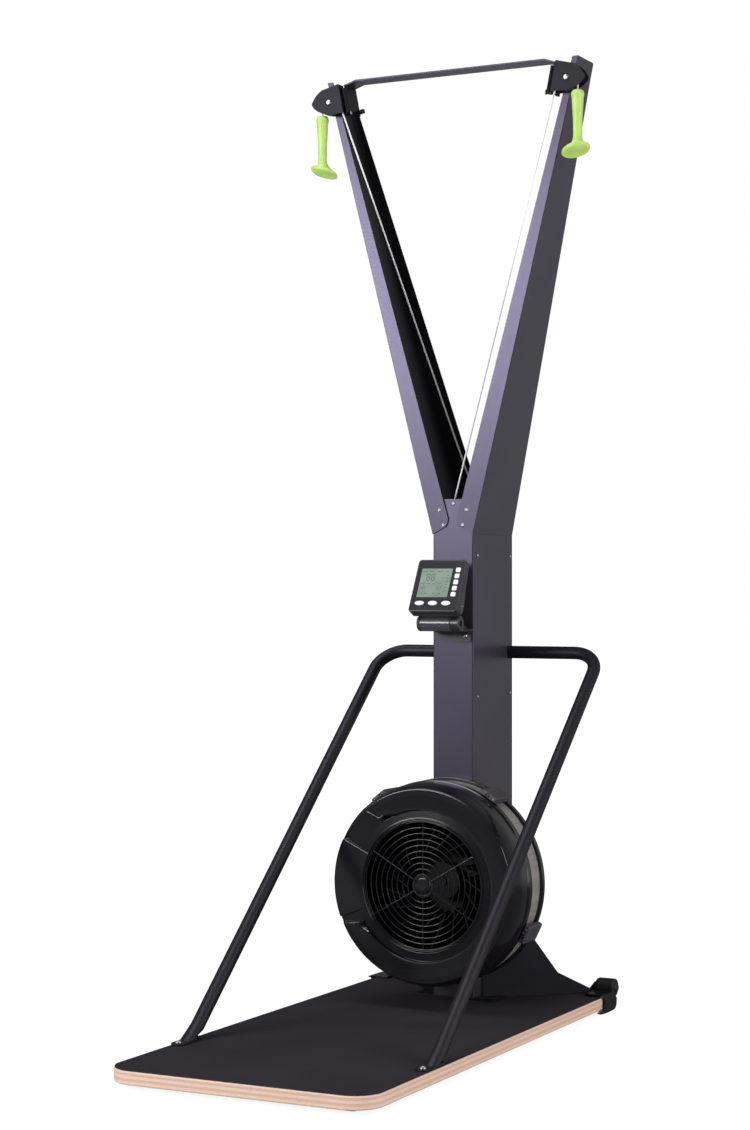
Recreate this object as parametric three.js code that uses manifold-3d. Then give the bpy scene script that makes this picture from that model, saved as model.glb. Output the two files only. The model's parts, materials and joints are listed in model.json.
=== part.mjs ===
// Air resistance ski trainer: a board, a folded steel column that splits into
// two arms, two swivelling rope pulleys with pull handles, and a fan that
// brakes the pull. Millimetres, +Z up. The user stands on the board at -Y and
// faces the column. X = 0 is the middle plane.
import * as THREE from "three";
import { mergeVertices } from "three/addons/utils/BufferGeometryUtils.js";
import Module from "manifold-3d";

const wasm = await Module();
wasm.setup();

// General clearances and drawing accuracy
const seatGap = 0.3;
const runGap = 0.4;
const overrun = 5;
const weldDistance = 0.0003;
const fullTurn = 2 * Math.PI;
const degree = Math.PI / 180;

// Board and its rubber strips
const boardWidth = 600;
const boardLength = 1240;
const boardWood = 28;
const matThickness = 2;
const matInset = 1.5;
const boardCornerRadius = 62;
const padHeight = 10;
const padWidth = 500;
const padDepth = 60;
const padInset = 70;
const padCornerRadius = 12;

// Column
const columnWidth = 104;
const columnDepth = 225;
const sheetWall = 3;
const columnFront = 1010;
const seamHeight = 1120;
const tongueRise = 81;
const columnLip = 18;
const baseWidth = 204;
const baseThickness = 6;
const baseFrontReach = 2;

// Flared skirt plates at the column foot
const skirtPlate = 4;
const skirtInnerX = 60;
const skirtInnerY = 1046;
const skirtOuterX = 252;
const skirtOuterY = 1229;
const skirtTopHeight = 345;
const skirtShoulderHeight = 92;
const skirtShoulderShare = 0.7;
const skirtTipHeight = 12;
const skirtFlangeWidth = 26;

// Arms
const armTopHeight = 2199;
const armTopX = 321.4;
const armTopFront = 991;
const armTopDepth = 95;
const armFlangeFoot = 51;
const armFlangeTop = 14.5;
const armTongueCorner = 12;
const armTongueRise = 28;
const armCornerCut = 3;

// Crossbar between the arm heads
const crossbarDepth = 50;
const crossbarThickness = 4;
const crossbarBehind = 5;
const crossbarBendInset = 61;
const crossbarDrop = 8;
const crossbarSeatRise = 7;

// Handrail hoop
const railRadius = 15;
const railHalfWidth = 285.5;
const railFootY = 295;
const railHeight = 841;
const railBend = 66;
const railBendSteps = 5;
const railSides = 12;
const railFootLength = 72;
const railFootWidth = 32;
const railFootThickness = 4;
const railFootForward = 10.5;
const railFootCorner = 15.5;

// Rope pulleys
const sheaveInset = 18.4;
const sheaveAhead = 16;
const sheaveDrop = 54;
const grooveRadius = 23.5;
const sheaveFlange = 28;
const sheaveWidth = 12;
const grooveLip = 2;
const grooveClearance = 0.6;
const sheaveBoltRadius = 4;
const sheaveBoltHead = 6.5;
const sheaveBoltHeadThickness = 3.5;
const sheaveNutThickness = 2;
const boltCrownShare = 0.65;
const housingWidth = 26;
const cheekThickness = 3;
const noseReach = 45;
const noseRadius = 10;
const noseLift = 2;
const housingTop = 33;
const housingBottom = 27;
const housingCrownX = 18;
const spineRise = 9;
const spineTopX = 27;
const spineBottomX = 39;
const knuckleRadius = 6.5;
const knucklePinRadius = 3;
const knuckleOffset = 8;
const knuckleShare = 0.42;
const knuckleSides = 10;

// Arm head bracket
const headPlate = 5;
const headBlockDepth = 62;
const headBlockWidth = 7;
const headHookReach = 24;
const headHookHeight = 9;

// Rope and handles
const ropeRadius = 2;
const ropeSides = 8;
const ropeX = -15;
const rightRopeY = 1042;
const leftRopeY = 1190;
const ropeEntryDrop = 36;
const wrapSteps = 9;
const handleDrop = 28.4;
const handleLength = 149;
const handleTopRadius = 13.5;
const handleLowRadius = 10.3;
const handleCollarRadius = 15.5;
const handleCollarHeight = 9;
const handleCrownShare = 0.8;
const handleBaseLength = 68;
const handleBaseDepth = 46;
const handleBaseRim = 5;
const handleFlareHeight = 23;
const handleFlareShares = [[0.92, 0.12], [0.62, 0.3], [0.3, 0.55], [0.08, 0.85]];
const handleBaseShift = 5;
const handleBaseRise = 11;
const handleSideTilt = 14;
const handleForwardTilt = 18;
const handleSides = 14;

// Rope guide in the column top
const guideRise = 68;
const guideHeight = 90;
const guidePlate = 6;
const guideWall = 3;
const guideEyeRadius = 6;
const guideRearReach = 26;

// Fan
const fanHeight = 321;
const fanRearRim = 235;
const fanRearRimWidth = 15;
const fanRearDish = 205;
const fanRearBoss = 120;
const rearCoverDepth = 23;
const coverWall = 3;
const coverSides = 32;
const bandRadius = 228;
const bandWall = 2;
const bandWidth = 56;
const bandSlots = 32;
const bandSlotShare = 0.66;
const bandSlotInset = 7;
const bandLedge = 4;
const fanFrontRim = 234;
const fanFlank = 232;
const frontCoverDepth = 93;
const frontFaceThickness = 18;
const crestInner = 182;
const crestOuter = 204;
const crestShoulder = 218;
const crestHeight = 4;
const flankStart = 36;
const dishRadius = 176;
const dishDepth = 10;
const grilleRadius = 146;
const grilleThickness = 3;
const grilleRing = 2.6;
const grilleRings = 9;
const grilleHub = 26;
const grilleSpokes = 6;
const grilleSpokeWidth = 3;
const grilleInnerSteps = 2;
const grilleOuterSteps = 3;
const grilleInnerRings = 8;
const grilleCurbHeight = 3;
const capRadius = 20;
const capThickness = 6;
const capShoulderShare = 0.9;
const capCrownShare = 0.5;
const damperRing = 20.5;
const damperThickness = 5;
const damperTabOuter = 224;
const damperTabStart = 153;
const damperTabEnd = 202;
const damperPocketStart = 127;
const damperPocketEnd = 205;
const clipAngles = [57, 128, 206, 334];
const clipWidth = 44;
const clipThickness = 13;
const clipOverlap = 10;
const clipCorner = 4;
const clipInsetShare = 0.2;

// Flywheel, axle and rope drums
const flywheelRadius = 192;
const flywheelDisc = 5;
const flywheelWidth = 84;
const flywheelHub = 42;
const flywheelBlades = 18;
const bladeThickness = 3;
const bladeInner = 62;
const bladeTilt = 24;
const axleRadius = 10;
const bearingOuter = 21;
const bearingWidth = 12;
const drumCore = 13;
const drumFlange = 24;
const drumWidth = 30;
const drumFlangeWidth = 3;
const recoilRadius = 42;
const recoilFrontShare = 0.3;
const recoilBackShare = 0.62;
const driveEar = 6;
const driveEarRise = 30;
const driveEarDrop = 60;
const driveFloor = 6;
const driveRearShare = 0.94;

// Monitor
const monitorWidth = 122;
const monitorHeight = 135;
const monitorTopThickness = 18;
const monitorWaistThickness = 26;
const monitorThickness = 38;
const monitorHeelShare = 0.12;
const monitorWaistShare = 0.42;
const monitorShoulderShare = 0.5;
const monitorCorner = 8;
const monitorTilt = 27.4;
const monitorFaceAhead = 53;
const monitorRise = 71.5;
const hingeAhead = 71;
const hingeHeight = 913;
const barrelRadius = 18.5;
const barrelLength = 107;
const barrelSides = 16;
const shelfDropShare = 0.75;
const cheekRiseShare = 0.5;
const sleeveStart = -45;
const sleeveEnd = 32;
const sleeveRadius = 18;
const hingePinRadius = 6;
const endHoleRadius = 6;
const endHoleDepth = 7;
const neckWidth = 60;
const neckBack = 9;
const neckLow = 10;
const neckHigh = 30;
const bracketPlate = 4;
const bracketHalf = 46;
const bracketEdgeDrop = 25;
const bracketStepDrop = 29;
const bracketStepStart = -22;
const bracketStepEnd = 10;
const bracketDrop = 42;
const bracketCorner = 12;
const lcdWidth = 78;
const lcdHeight = 74;
const lcdCentreX = -8;
const lcdCentreRise = 6.3;
const lcdDepth = 2.5;
const squareKey = 11.5;
const squareKeyPitch = 15.7;
const squareKeyX = 45;
const squareKeyTopRise = 39.5;
const squareKeys = 5;
const ovalKeyWidth = 23;
const ovalKeyHeight = 11;
const ovalKeyPitch = 33.5;
const ovalKeyDrop = 46;
const ovalKeyShift = -2;
const ovalKeys = 3;
const keyStand = 2;
const keyInset = 1.8;
const keyStroke = 1.5;
const keyGap = 0.4;
const keyCorner = 1.6;

// Transport wheels and their corner brackets
const wheelRadius = 21;
const wheelWidth = 50;
const wheelShoulder = 9;
const wheelCentreHeight = 49;
const wheelBehindBoard = 36;
const wheelInset = 0.5;
const wheelSides = 16;
const wheelAxleRadius = 5;
const hubCapRadius = 12;
const hubCapHeight = 6.5;
const hubCrownShare = 0.8;
const hubRiseShare = 0.6;
const earThickness = 5;
const cornerWall = 5.4;
const cornerTopLength = 56;
const cornerReach = 41;
const cornerRearReach = 28;
const cornerRearHeight = 27;
const cornerFloorGap = 1.5;
const cornerHookReach = 74;
const cornerHookDepth = 42;
const cornerTipReach = 88;
const cornerTipHeight = 9;
const cornerArchHeight = 23;

// Heights and places that follow from the sizes above
const boardTop = padHeight + boardWood + matThickness;
const columnBack = columnFront + columnDepth;
const halfColumn = columnWidth / 2;
const baseTop = boardTop + seatGap + baseThickness;
const columnFoot = baseTop + seatGap;
const armFrontFoot = columnFront - sheetWall - seatGap;
const armLean = (armTopX - halfColumn) / (armTopHeight - seamHeight);
const flangeLean = (armTopX - armFlangeTop - halfColumn + armFlangeFoot) / (armTopHeight - seamHeight);
const armFrontLean = (armFrontFoot - armTopFront) / (armTopHeight - seamHeight);
// The inscribed circle of a fan piece's facets is smaller than its corners' circle
const facetSpread = 1 / Math.cos(Math.PI / coverSides);
const sheaveX = armTopX - sheaveInset;
const sheaveY = armTopFront - sheaveAhead;
const sheaveHeight = armTopHeight - sheaveDrop;
const guideTop = seamHeight + guideRise;
const tongueTop = seamHeight + tongueRise;
const railY = columnBack - sheetWall - railRadius - seatGap;
const fanRearBack = columnFront - seatGap;
const bandBack = fanRearBack - rearCoverDepth + seatGap;
const bandFront = bandBack - bandWidth;
const coverBack = bandFront - seatGap;
const coverFront = coverBack - frontCoverDepth;
const grillePlane = coverFront + dishDepth;
const wheelY = boardLength + wheelBehindBoard;
const overallLength = wheelY + wheelRadius;
const middleY = overallLength / 2;

const steel = new THREE.MeshStandardMaterial({ color: 0x2b2a30, roughness: 0.45, metalness: 0.5 });
const plastic = new THREE.MeshStandardMaterial({ color: 0x151518, roughness: 0.35, metalness: 0 });
const blackRubber = new THREE.MeshStandardMaterial({ color: 0x1b1b1b, roughness: 0.9, metalness: 0 });
const matTop = new THREE.MeshStandardMaterial({ color: 0x1d1c1e, roughness: 0.8, metalness: 0 });
const plywood = new THREE.MeshStandardMaterial({ color: 0xd8b394, roughness: 0.6, metalness: 0 });
const greenGrip = new THREE.MeshStandardMaterial({ color: 0xa4cc58, roughness: 0.5, metalness: 0 });
const whiteRope = new THREE.MeshStandardMaterial({ color: 0xe4e3e2, roughness: 0.8, metalness: 0 });
const bareSteel = new THREE.MeshStandardMaterial({ color: 0xb9bac0, roughness: 0.3, metalness: 1 });
const greyMesh = new THREE.MeshStandardMaterial({ color: 0x8f8d89, roughness: 0.6, metalness: 0.3 });
const whiteKey = new THREE.MeshStandardMaterial({ color: 0xeff0f2, roughness: 0.4, metalness: 0 });
const lcdGlass = new THREE.MeshStandardMaterial({ color: 0x9fb3a4, roughness: 0.15, metalness: 0 });

const model = new THREE.Group();
model.position.y = -middleY;

// Turns a closed geometry so that its faces point out
function outward(geometry) {
  const plain = geometry.clone();
  plain.deleteAttribute("normal");
  plain.deleteAttribute("uv");
  const merged = mergeVertices(plain, weldDistance);
  const place = merged.getAttribute("position");
  const index = merged.index.array;
  const a = new THREE.Vector3();
  const b = new THREE.Vector3();
  const c = new THREE.Vector3();
  const kept = [];
  let volume = 0;
  for (let i = 0; i < index.length; i += 3) {
    const [p, q, r] = [index[i], index[i + 1], index[i + 2]];
    if (p === q || q === r || r === p) continue;
    kept.push(p, q, r);
    a.fromBufferAttribute(place, p);
    b.fromBufferAttribute(place, q);
    c.fromBufferAttribute(place, r);
    volume += a.dot(b.cross(c));
  }
  if (volume < 0) {
    for (let i = 0; i < kept.length; i += 3) [kept[i], kept[i + 1]] = [kept[i + 1], kept[i]];
  }
  merged.setIndex(kept);
  return merged;
}

function toSolid(geometry) {
  const closed = outward(geometry);
  const vertProperties = new Float32Array(closed.getAttribute("position").array);
  const triVerts = new Uint32Array(closed.index.array);
  return new wasm.Manifold(new wasm.Mesh({ numProp: 3, vertProperties, triVerts }));
}

function toGeometry(solid) {
  const mesh = solid.getMesh();
  const geometry = new THREE.BufferGeometry();
  geometry.setAttribute("position", new THREE.BufferAttribute(new Float32Array(mesh.vertProperties), 3));
  geometry.setIndex(new THREE.BufferAttribute(new Uint32Array(mesh.triVerts), 1));
  return geometry;
}

// Joins closed geometries into one
function join(...pieces) {
  return toGeometry(pieces.map(toSolid).reduce((sum, piece) => sum.add(piece)));
}

// Cuts the later geometries out of the first
function cut(body, ...tools) {
  return toGeometry(tools.map(toSolid).reduce((rest, tool) => rest.subtract(tool), toSolid(body)));
}

// What two closed geometries share
function shared(first, second) {
  return toGeometry(toSolid(first).intersect(toSolid(second)));
}

function mirrored(geometry) {
  return geometry.clone().scale(-1, 1, 1);
}

// A box between two opposite corners
function block(low, high) {
  const size = high.map((value, i) => value - low[i]);
  const middle = high.map((value, i) => (value + low[i]) / 2);
  return new THREE.BoxGeometry(...size).translate(...middle);
}

// A flat outline in X and Y, raised along +Z
function plate(shape, thickness, curveSegments = 6) {
  return new THREE.ExtrudeGeometry(shape, { depth: thickness, bevelEnabled: false, curveSegments });
}

// The same outline read as X and Z, thick along +Y from zero
function uprightPlate(shape, thickness, curveSegments = 6) {
  return plate(shape, thickness, curveSegments).rotateX(Math.PI / 2).translate(0, thickness, 0);
}

// The same outline read as Y and Z, thick along +X from zero
function sidePlate(shape, thickness, curveSegments = 6) {
  return plate(shape, thickness, curveSegments).rotateX(Math.PI / 2).rotateZ(Math.PI / 2);
}

function polygon(points) {
  return new THREE.Shape(points.map(([x, y]) => new THREE.Vector2(x, y)));
}

function roundedRectangle(width, height, radius) {
  const x = width / 2;
  const y = height / 2;
  const shape = new THREE.Shape();
  shape.moveTo(x - radius, -y);
  shape.absarc(x - radius, -y + radius, radius, -Math.PI / 2, 0, false);
  shape.absarc(x - radius, y - radius, radius, 0, Math.PI / 2, false);
  shape.absarc(-x + radius, y - radius, radius, Math.PI / 2, Math.PI, false);
  shape.absarc(-x + radius, -y + radius, radius, Math.PI, 3 * Math.PI / 2, false);
  return shape;
}

// A profile of [radius, height] pairs turned about Z, closed by its last side
function turned(profile, segments) {
  const points = profile.map(([radius, height]) => new THREE.Vector2(radius, height));
  points.push(points[0].clone());
  return new THREE.LatheGeometry(points, segments).rotateX(Math.PI / 2);
}

// The same about the Y axis: heights run along +Y
function turnedAboutY(profile, segments) {
  return turned(profile.map(([radius, y]) => [radius, -y]), segments).rotateX(Math.PI / 2);
}

// The same about the X axis: heights run along +X
function turnedAboutX(profile, segments) {
  return turned(profile, segments).rotateY(Math.PI / 2);
}

function ring(inner, outer, start, end) {
  return [[inner, start], [outer, start], [outer, end], [inner, end]];
}

// A path through stations, with the section square to the bisector at each
class StationPath extends THREE.Curve {
  constructor(stations) {
    super();
    this.stations = stations;
  }
  getPoint(t, target = new THREE.Vector3()) {
    const last = this.stations.length - 1;
    const index = Math.min(Math.floor(t * last), last - 1);
    return target.copy(this.stations[index]).lerp(this.stations[index + 1], t * last - index);
  }
  getUtoTmapping(u) {
    return u;
  }
  getTangent(t, target = new THREE.Vector3()) {
    const last = this.stations.length - 1;
    const index = Math.round(t * last);
    const along = new THREE.Vector3();
    if (index > 0) along.add(this.stations[index].clone().sub(this.stations[index - 1]).normalize());
    if (index < last) along.add(this.stations[index + 1].clone().sub(this.stations[index]).normalize());
    return target.copy(along).normalize();
  }
}

function tubeAlong(stations, radius, sides) {
  const section = new THREE.Shape();
  for (let i = 0; i < sides; i += 1) {
    const angle = fullTurn * i / sides;
    const [x, y] = [radius * Math.cos(angle), radius * Math.sin(angle)];
    if (i === 0) section.moveTo(x, y);
    else section.lineTo(x, y);
  }
  const path = new StationPath(stations);
  return new THREE.ExtrudeGeometry(section, { steps: stations.length - 1, extrudePath: path });
}

// Stations of a path whose inner corners are rounded to one bend radius
function roundedPath(corners, radius, steps) {
  const stations = [corners[0]];
  for (let i = 1; i < corners.length - 1; i += 1) {
    const back = corners[i - 1].clone().sub(corners[i]).normalize();
    const ahead = corners[i + 1].clone().sub(corners[i]).normalize();
    const half = back.angleTo(ahead) / 2;
    const reach = radius / Math.sin(half);
    const middle = back.clone().add(ahead).normalize().multiplyScalar(reach).add(corners[i]);
    const start = corners[i].clone().addScaledVector(back, radius / Math.tan(half));
    const spoke = start.sub(middle);
    const axis = back.clone().cross(ahead).normalize();
    for (let k = 0; k <= steps; k += 1) {
      const turn = -(Math.PI - 2 * half) * k / steps;
      stations.push(spoke.clone().applyAxisAngle(axis, turn).add(middle));
    }
  }
  stations.push(corners[corners.length - 1]);
  return stations;
}

function add(name, geometry, material, parent = model) {
  const mesh = new THREE.Mesh(outward(geometry), material);
  mesh.name = name;
  parent.add(mesh);
  return mesh;
}

// Board, mat and rubber strips
function addBoard() {
  const boardMiddle = boardLength / 2;
  const wood = plate(roundedRectangle(boardWidth, boardLength, boardCornerRadius), boardWood, 4);
  add("base_board", wood.translate(0, boardMiddle, padHeight), plywood);
  const matWidth = boardWidth - 2 * matInset;
  const matLength = boardLength - 2 * matInset;
  const mat = plate(roundedRectangle(matWidth, matLength, boardCornerRadius - matInset), matThickness, 4);
  add("board_mat", mat.translate(0, boardMiddle, padHeight + boardWood), matTop);
  const pad = plate(roundedRectangle(padWidth, padDepth, padCornerRadius), padHeight, 2);
  add("front_foot_strip", pad.clone().translate(0, padInset, 0), blackRubber);
  add("rear_foot_strip", pad.clone().translate(0, boardLength - padInset, 0), blackRubber);
}

// Base plate with the two flared skirt plates that brace the column foot
function addSkirt() {
  const low = boardTop + seatGap;
  const floorPlate = block(
    [-baseWidth / 2, columnFront + baseFrontReach, low],
    [baseWidth / 2, columnBack, baseTop],
  );
  const runX = skirtOuterX - skirtInnerX;
  const runY = skirtOuterY - skirtInnerY;
  const run = Math.hypot(runX, runY);
  const slant = Math.atan2(runY, runX);
  const outline = polygon([
    [0, 0], [run, 0], [run, skirtTipHeight],
    [run * skirtShoulderShare, skirtShoulderHeight - boardTop],
    [0, skirtTopHeight - boardTop],
  ]);
  const wing = uprightPlate(outline, skirtPlate)
    .rotateZ(slant)
    .translate(skirtInnerX, skirtInnerY, low);
  const flange = block([0, 0, 0], [run, skirtFlangeWidth, skirtPlate])
    .rotateZ(slant)
    .translate(skirtInnerX, skirtInnerY, low);
  const behind = block(
    [-overrun, columnBack, 0],
    [skirtOuterX + overrun, columnBack + skirtFlangeWidth, baseTop * 2],
  );
  const rightWing = cut(join(wing, flange), behind);
  add("base_skirt", join(floorPlate, rightWing, mirrored(rightWing)), steel);
}

// Column: a folded channel with a rear cover let in between its lips
function addColumn() {
  const low = columnFoot;
  const high = seamHeight - seatGap;
  const outer = block([-halfColumn, columnFront, low], [halfColumn, columnBack, high]);
  const hollow = block(
    [-halfColumn + sheetWall, columnFront + sheetWall, low - overrun],
    [halfColumn - sheetWall, columnBack - sheetWall, high + overrun],
  );
  const rearSlot = block(
    [-halfColumn + columnLip, columnBack - sheetWall - overrun, low - overrun],
    [halfColumn - columnLip, columnBack + overrun, high + overrun],
  );
  const tongueHalf = halfColumn - sheetWall - seatGap;
  const tongue = block(
    [-tongueHalf, columnFront, high - sheetWall],
    [tongueHalf, columnFront + sheetWall, tongueTop],
  );
  const railHole = turnedAboutX(
    ring(0, railRadius + seatGap, -columnWidth, columnWidth), railSides,
  ).rotateX(Math.PI / railSides).translate(0, railY, railHeight);
  const axleHole = turnedAboutY(
    ring(0, bearingOuter + seatGap, -overrun, overrun + sheetWall), 28,
  ).translate(0, columnFront, fanHeight);
  add("column_channel", cut(join(cut(outer, hollow, rearSlot), tongue), railHole, axleHole), steel);
  const coverHalf = halfColumn - columnLip - seatGap;
  const rearCover = block([-coverHalf, columnBack - sheetWall, low], [coverHalf, columnBack, high]);
  add("column_rear_cover", rearCover, steel);
}

// One arm as a C section lofted from the column top to the arm head
function armSection(outerX, frontY, depth, flange, height) {
  const inner = outerX - sheetWall;
  const back = frontY + depth;
  const tip = outerX - flange;
  return [
    [tip, frontY], [outerX, frontY], [outerX, back], [tip, back],
    [tip, back - sheetWall], [inner, back - sheetWall],
    [inner, frontY + sheetWall], [tip, frontY + sheetWall],
  ].map(([x, y]) => new THREE.Vector3(x, y, height));
}

function loft(low, high) {
  const count = low.length;
  const positions = [...low, ...high].flatMap((point) => point.toArray());
  const caps = THREE.ShapeUtils.triangulateShape(low.map((point) => new THREE.Vector2(point.x, point.y)), []);
  const index = [];
  for (const [a, b, c] of caps) index.push(c, b, a, a + count, b + count, c + count);
  for (let i = 0; i < count; i += 1) {
    const next = (i + 1) % count;
    index.push(i, next, next + count, i, next + count, i + count);
  }
  const geometry = new THREE.BufferGeometry();
  geometry.setAttribute("position", new THREE.Float32BufferAttribute(positions, 3));
  geometry.setIndex(index);
  return geometry;
}

function addArms() {
  const footDepth = columnBack - armFrontFoot;
  const foot = armSection(halfColumn, armFrontFoot, footDepth, armFlangeFoot, seamHeight);
  const head = armSection(armTopX, armTopFront, armTopDepth, armFlangeTop, armTopHeight);
  const channel = loft(foot, head);
  // The front flange ends in a rounded tongue whose lower edge rises inwards
  const tipX = halfColumn - armFlangeFoot;
  const cornerX = tipX + flangeLean * armTongueRise;
  const rounding = new THREE.Shape();
  rounding.moveTo(tipX - overrun, seamHeight - overrun);
  rounding.lineTo(halfColumn, seamHeight - overrun);
  rounding.lineTo(halfColumn, seamHeight);
  rounding.lineTo(cornerX + armTongueCorner, seamHeight + armTongueRise - armTongueCorner);
  rounding.quadraticCurveTo(
    cornerX, seamHeight + armTongueRise - armTongueCorner - sheetWall,
    cornerX + flangeLean * armTongueCorner, seamHeight + armTongueRise + armTongueCorner,
  );
  rounding.lineTo(tipX - overrun, seamHeight + armTongueRise + armTongueCorner);
  const roundingTool = uprightPlate(rounding, footDepth / 2 - overrun, 5)
    .translate(0, armFrontFoot - overrun, 0);
  // The web's top rear corner is clipped
  const cornerTool = new THREE.BoxGeometry(armCornerCut * 2, armCornerCut * 2, armCornerCut * 2)
    .rotateX(Math.PI / 4)
    .translate(armTopX, armTopFront + armTopDepth, armTopHeight);
  const right = cut(channel, roundingTool, cornerTool);
  add("right_arm", right, steel);
  add("left_arm", mirrored(right), steel);
}

// Flat bar that ties the arm heads, its ends bent down onto the hinge plates
function addCrossbar() {
  const plateX = sheaveX - swivelInset + hingeTop * Math.sin(spineLean);
  const half = headBlockWidth / 2 * Math.cos(spineLean);
  const innerHeight = sheaveHeight + hingeTopHeight + seatGap;
  const outerHeight = innerHeight - headBlockWidth * Math.sin(spineLean);
  const high = innerHeight + crossbarDrop;
  const bendX = sheaveX - crossbarBendInset;
  const under = [
    [-plateX - half, outerHeight], [-plateX + half, innerHeight], [-bendX, high],
    [bendX, high], [plateX - half, innerHeight], [plateX + half, outerHeight],
  ];
  const over = under.map(([x, z]) => [x, z + crossbarThickness]).reverse();
  const bar = uprightPlate(polygon([...under, ...over]), crossbarDepth);
  add("crossbar", bar.translate(0, sheaveY + crossbarBehind, 0), steel);
}

// Pieces of the right rope head are drawn about the sheave's centre, with the
// nose towards +X, and mirrored for the left one
function cheekOutline() {
  const shape = new THREE.Shape();
  shape.moveTo(-spineBottomX, -housingBottom);
  shape.lineTo(0, -housingBottom - noseLift);
  shape.quadraticCurveTo(
    noseReach - noseRadius, -housingBottom + noseRadius / 2,
    noseReach, -noseLift * 2,
  );
  shape.quadraticCurveTo(noseReach + noseLift, noseLift, noseReach - noseLift, noseRadius / 2);
  shape.quadraticCurveTo(
    noseReach - noseRadius, housingTop - noseRadius,
    housingCrownX, housingTop - noseLift,
  );
  shape.lineTo(-spineTopX + spineRise * Math.tan(spineLean), housingTop + spineRise);
  return shape;
}

// The spine and the swivel axis lean outwards with the arm
const spineLean = Math.atan2(spineBottomX - spineTopX, housingTop + housingBottom);
const swivelInset = (spineTopX + spineBottomX) / 2 + knuckleOffset;
const knuckleSpan = (housingTop + housingBottom) / 2;
const knuckleHalf = knuckleSpan * knuckleShare;
const hingeTop = knuckleSpan + crossbarSeatRise;
const hingeTopHeight = (housingTop - housingBottom) / 2
  + hingeTop * Math.cos(spineLean) + headBlockWidth / 2 * Math.sin(spineLean);

// Puts a piece drawn on an upright swivel axis onto the leaning one
function onSwivel(geometry) {
  return geometry.rotateY(spineLean).translate(-swivelInset, 0, (housingTop - housingBottom) / 2);
}

function knuckle(start, end, radius) {
  return onSwivel(turned([[0, start], [radius, start], [radius, end], [0, end]], knuckleSides));
}

// Folded sheet housing: two cheeks joined by the spine, and its swivel knuckle
function housingGeometry() {
  const solid = uprightPlate(cheekOutline(), housingWidth, 4).translate(0, -housingWidth / 2, 0);
  const gap = housingWidth / 2 - cheekThickness;
  const reach = noseReach + housingTop;
  const wallShift = cheekThickness / Math.cos(spineLean);
  const run = spineBottomX - spineTopX;
  const rise = housingTop + housingBottom;
  const hollow = uprightPlate(polygon([
    [-spineBottomX + wallShift - run, -housingBottom - rise],
    [reach, -housingBottom - rise],
    [reach, housingTop + rise],
    [-spineTopX + wallShift + run, housingTop + rise],
  ]), 2 * gap).translate(0, -gap, 0);
  const boltHole = turnedAboutY(ring(0, sheaveBoltRadius + seatGap, -housingWidth, housingWidth), 10);
  const barrel = knuckle(-knuckleHalf, knuckleHalf, knuckleRadius);
  const webReach = knuckleOffset * Math.cos(spineLean) + cheekThickness / 2;
  const web = onSwivel(block([0, -cheekThickness, -knuckleHalf], [webReach, cheekThickness, knuckleHalf]));
  const bore = knuckle(-knuckleSpan, knuckleSpan, knucklePinRadius + runGap);
  return cut(join(cut(solid, hollow, boltHole), web, barrel), bore);
}

function sheaveGeometry() {
  const half = sheaveWidth / 2;
  const bore = sheaveBoltRadius + runGap;
  const root = grooveRadius - ropeRadius - grooveClearance;
  const rootHalf = ropeRadius + seatGap;
  return turnedAboutY([
    [bore, -half], [sheaveFlange, -half], [sheaveFlange, -half + grooveLip], [root, -rootHalf],
    [root, rootHalf], [sheaveFlange, half - grooveLip], [sheaveFlange, half], [bore, half],
  ], 16);
}

function sheaveBoltGeometry() {
  const half = housingWidth / 2 + seatGap;
  const outer = half + sheaveBoltHeadThickness;
  const nutEnd = half + sheaveNutThickness;
  const crown = sheaveBoltHead * boltCrownShare;
  return turnedAboutY([
    [0, -outer], [crown, -outer], [sheaveBoltHead, -half - sheaveBoltHeadThickness / 2],
    [sheaveBoltHead, -half], [sheaveBoltRadius, -half], [sheaveBoltRadius, half],
    [sheaveBoltHead, half], [sheaveBoltHead, nutEnd], [0, nutEnd],
  ], 10);
}

// Head bracket: two outer knuckles with their pin, a hinge plate that runs back
// along the arm and a mounting plate behind the arm's front flange
function headBracketGeometry() {
  const upper = knuckle(knuckleHalf + runGap, knuckleSpan, knuckleRadius);
  const lower = knuckle(-knuckleSpan, -knuckleHalf - runGap, knuckleRadius);
  const pin = knuckle(-knuckleSpan, knuckleSpan, knucklePinRadius);
  const backStart = knuckleRadius + runGap * 2;
  const low = -headBlockWidth / 2;
  const high = headBlockWidth / 2;
  const hingeBack = headBlockDepth - knuckleRadius;
  const hingePlate = onSwivel(block([low, backStart, -knuckleSpan], [high, hingeBack, hingeTop]));
  const webBack = backStart + overrun;
  const upperWeb = onSwivel(block([low, 0, knuckleHalf + runGap], [high, webBack, knuckleSpan]));
  const lowerWeb = onSwivel(block([low, 0, -knuckleSpan], [high, webBack, -knuckleHalf - runGap]));
  const hook = onSwivel(block(
    [-headHookReach, headBlockDepth / 2, -knuckleSpan],
    [0, headBlockDepth / 2 + headHookHeight, -knuckleSpan + headHookHeight],
  ));
  // The mounting plate lies behind the front flange and ends short of the web
  const flangeBack = sheaveAhead + sheetWall + sheaveDrop * armFrontLean + 2 * seatGap;
  const reach = sheaveInset - sheaveDrop * armLean - sheetWall - 2 * seatGap;
  const mount = uprightPlate(polygon([
    [-swivelInset - housingBottom * armLean, -housingBottom],
    [reach - housingBottom * armLean, -housingBottom],
    [reach + housingTop * armLean, housingTop],
    [-swivelInset + housingTop * armLean, housingTop],
  ]), headPlate).translate(0, flangeBack, 0);
  return join(upper, lower, pin, hingePlate, upperWeb, lowerWeb, hook, mount);
}

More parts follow.
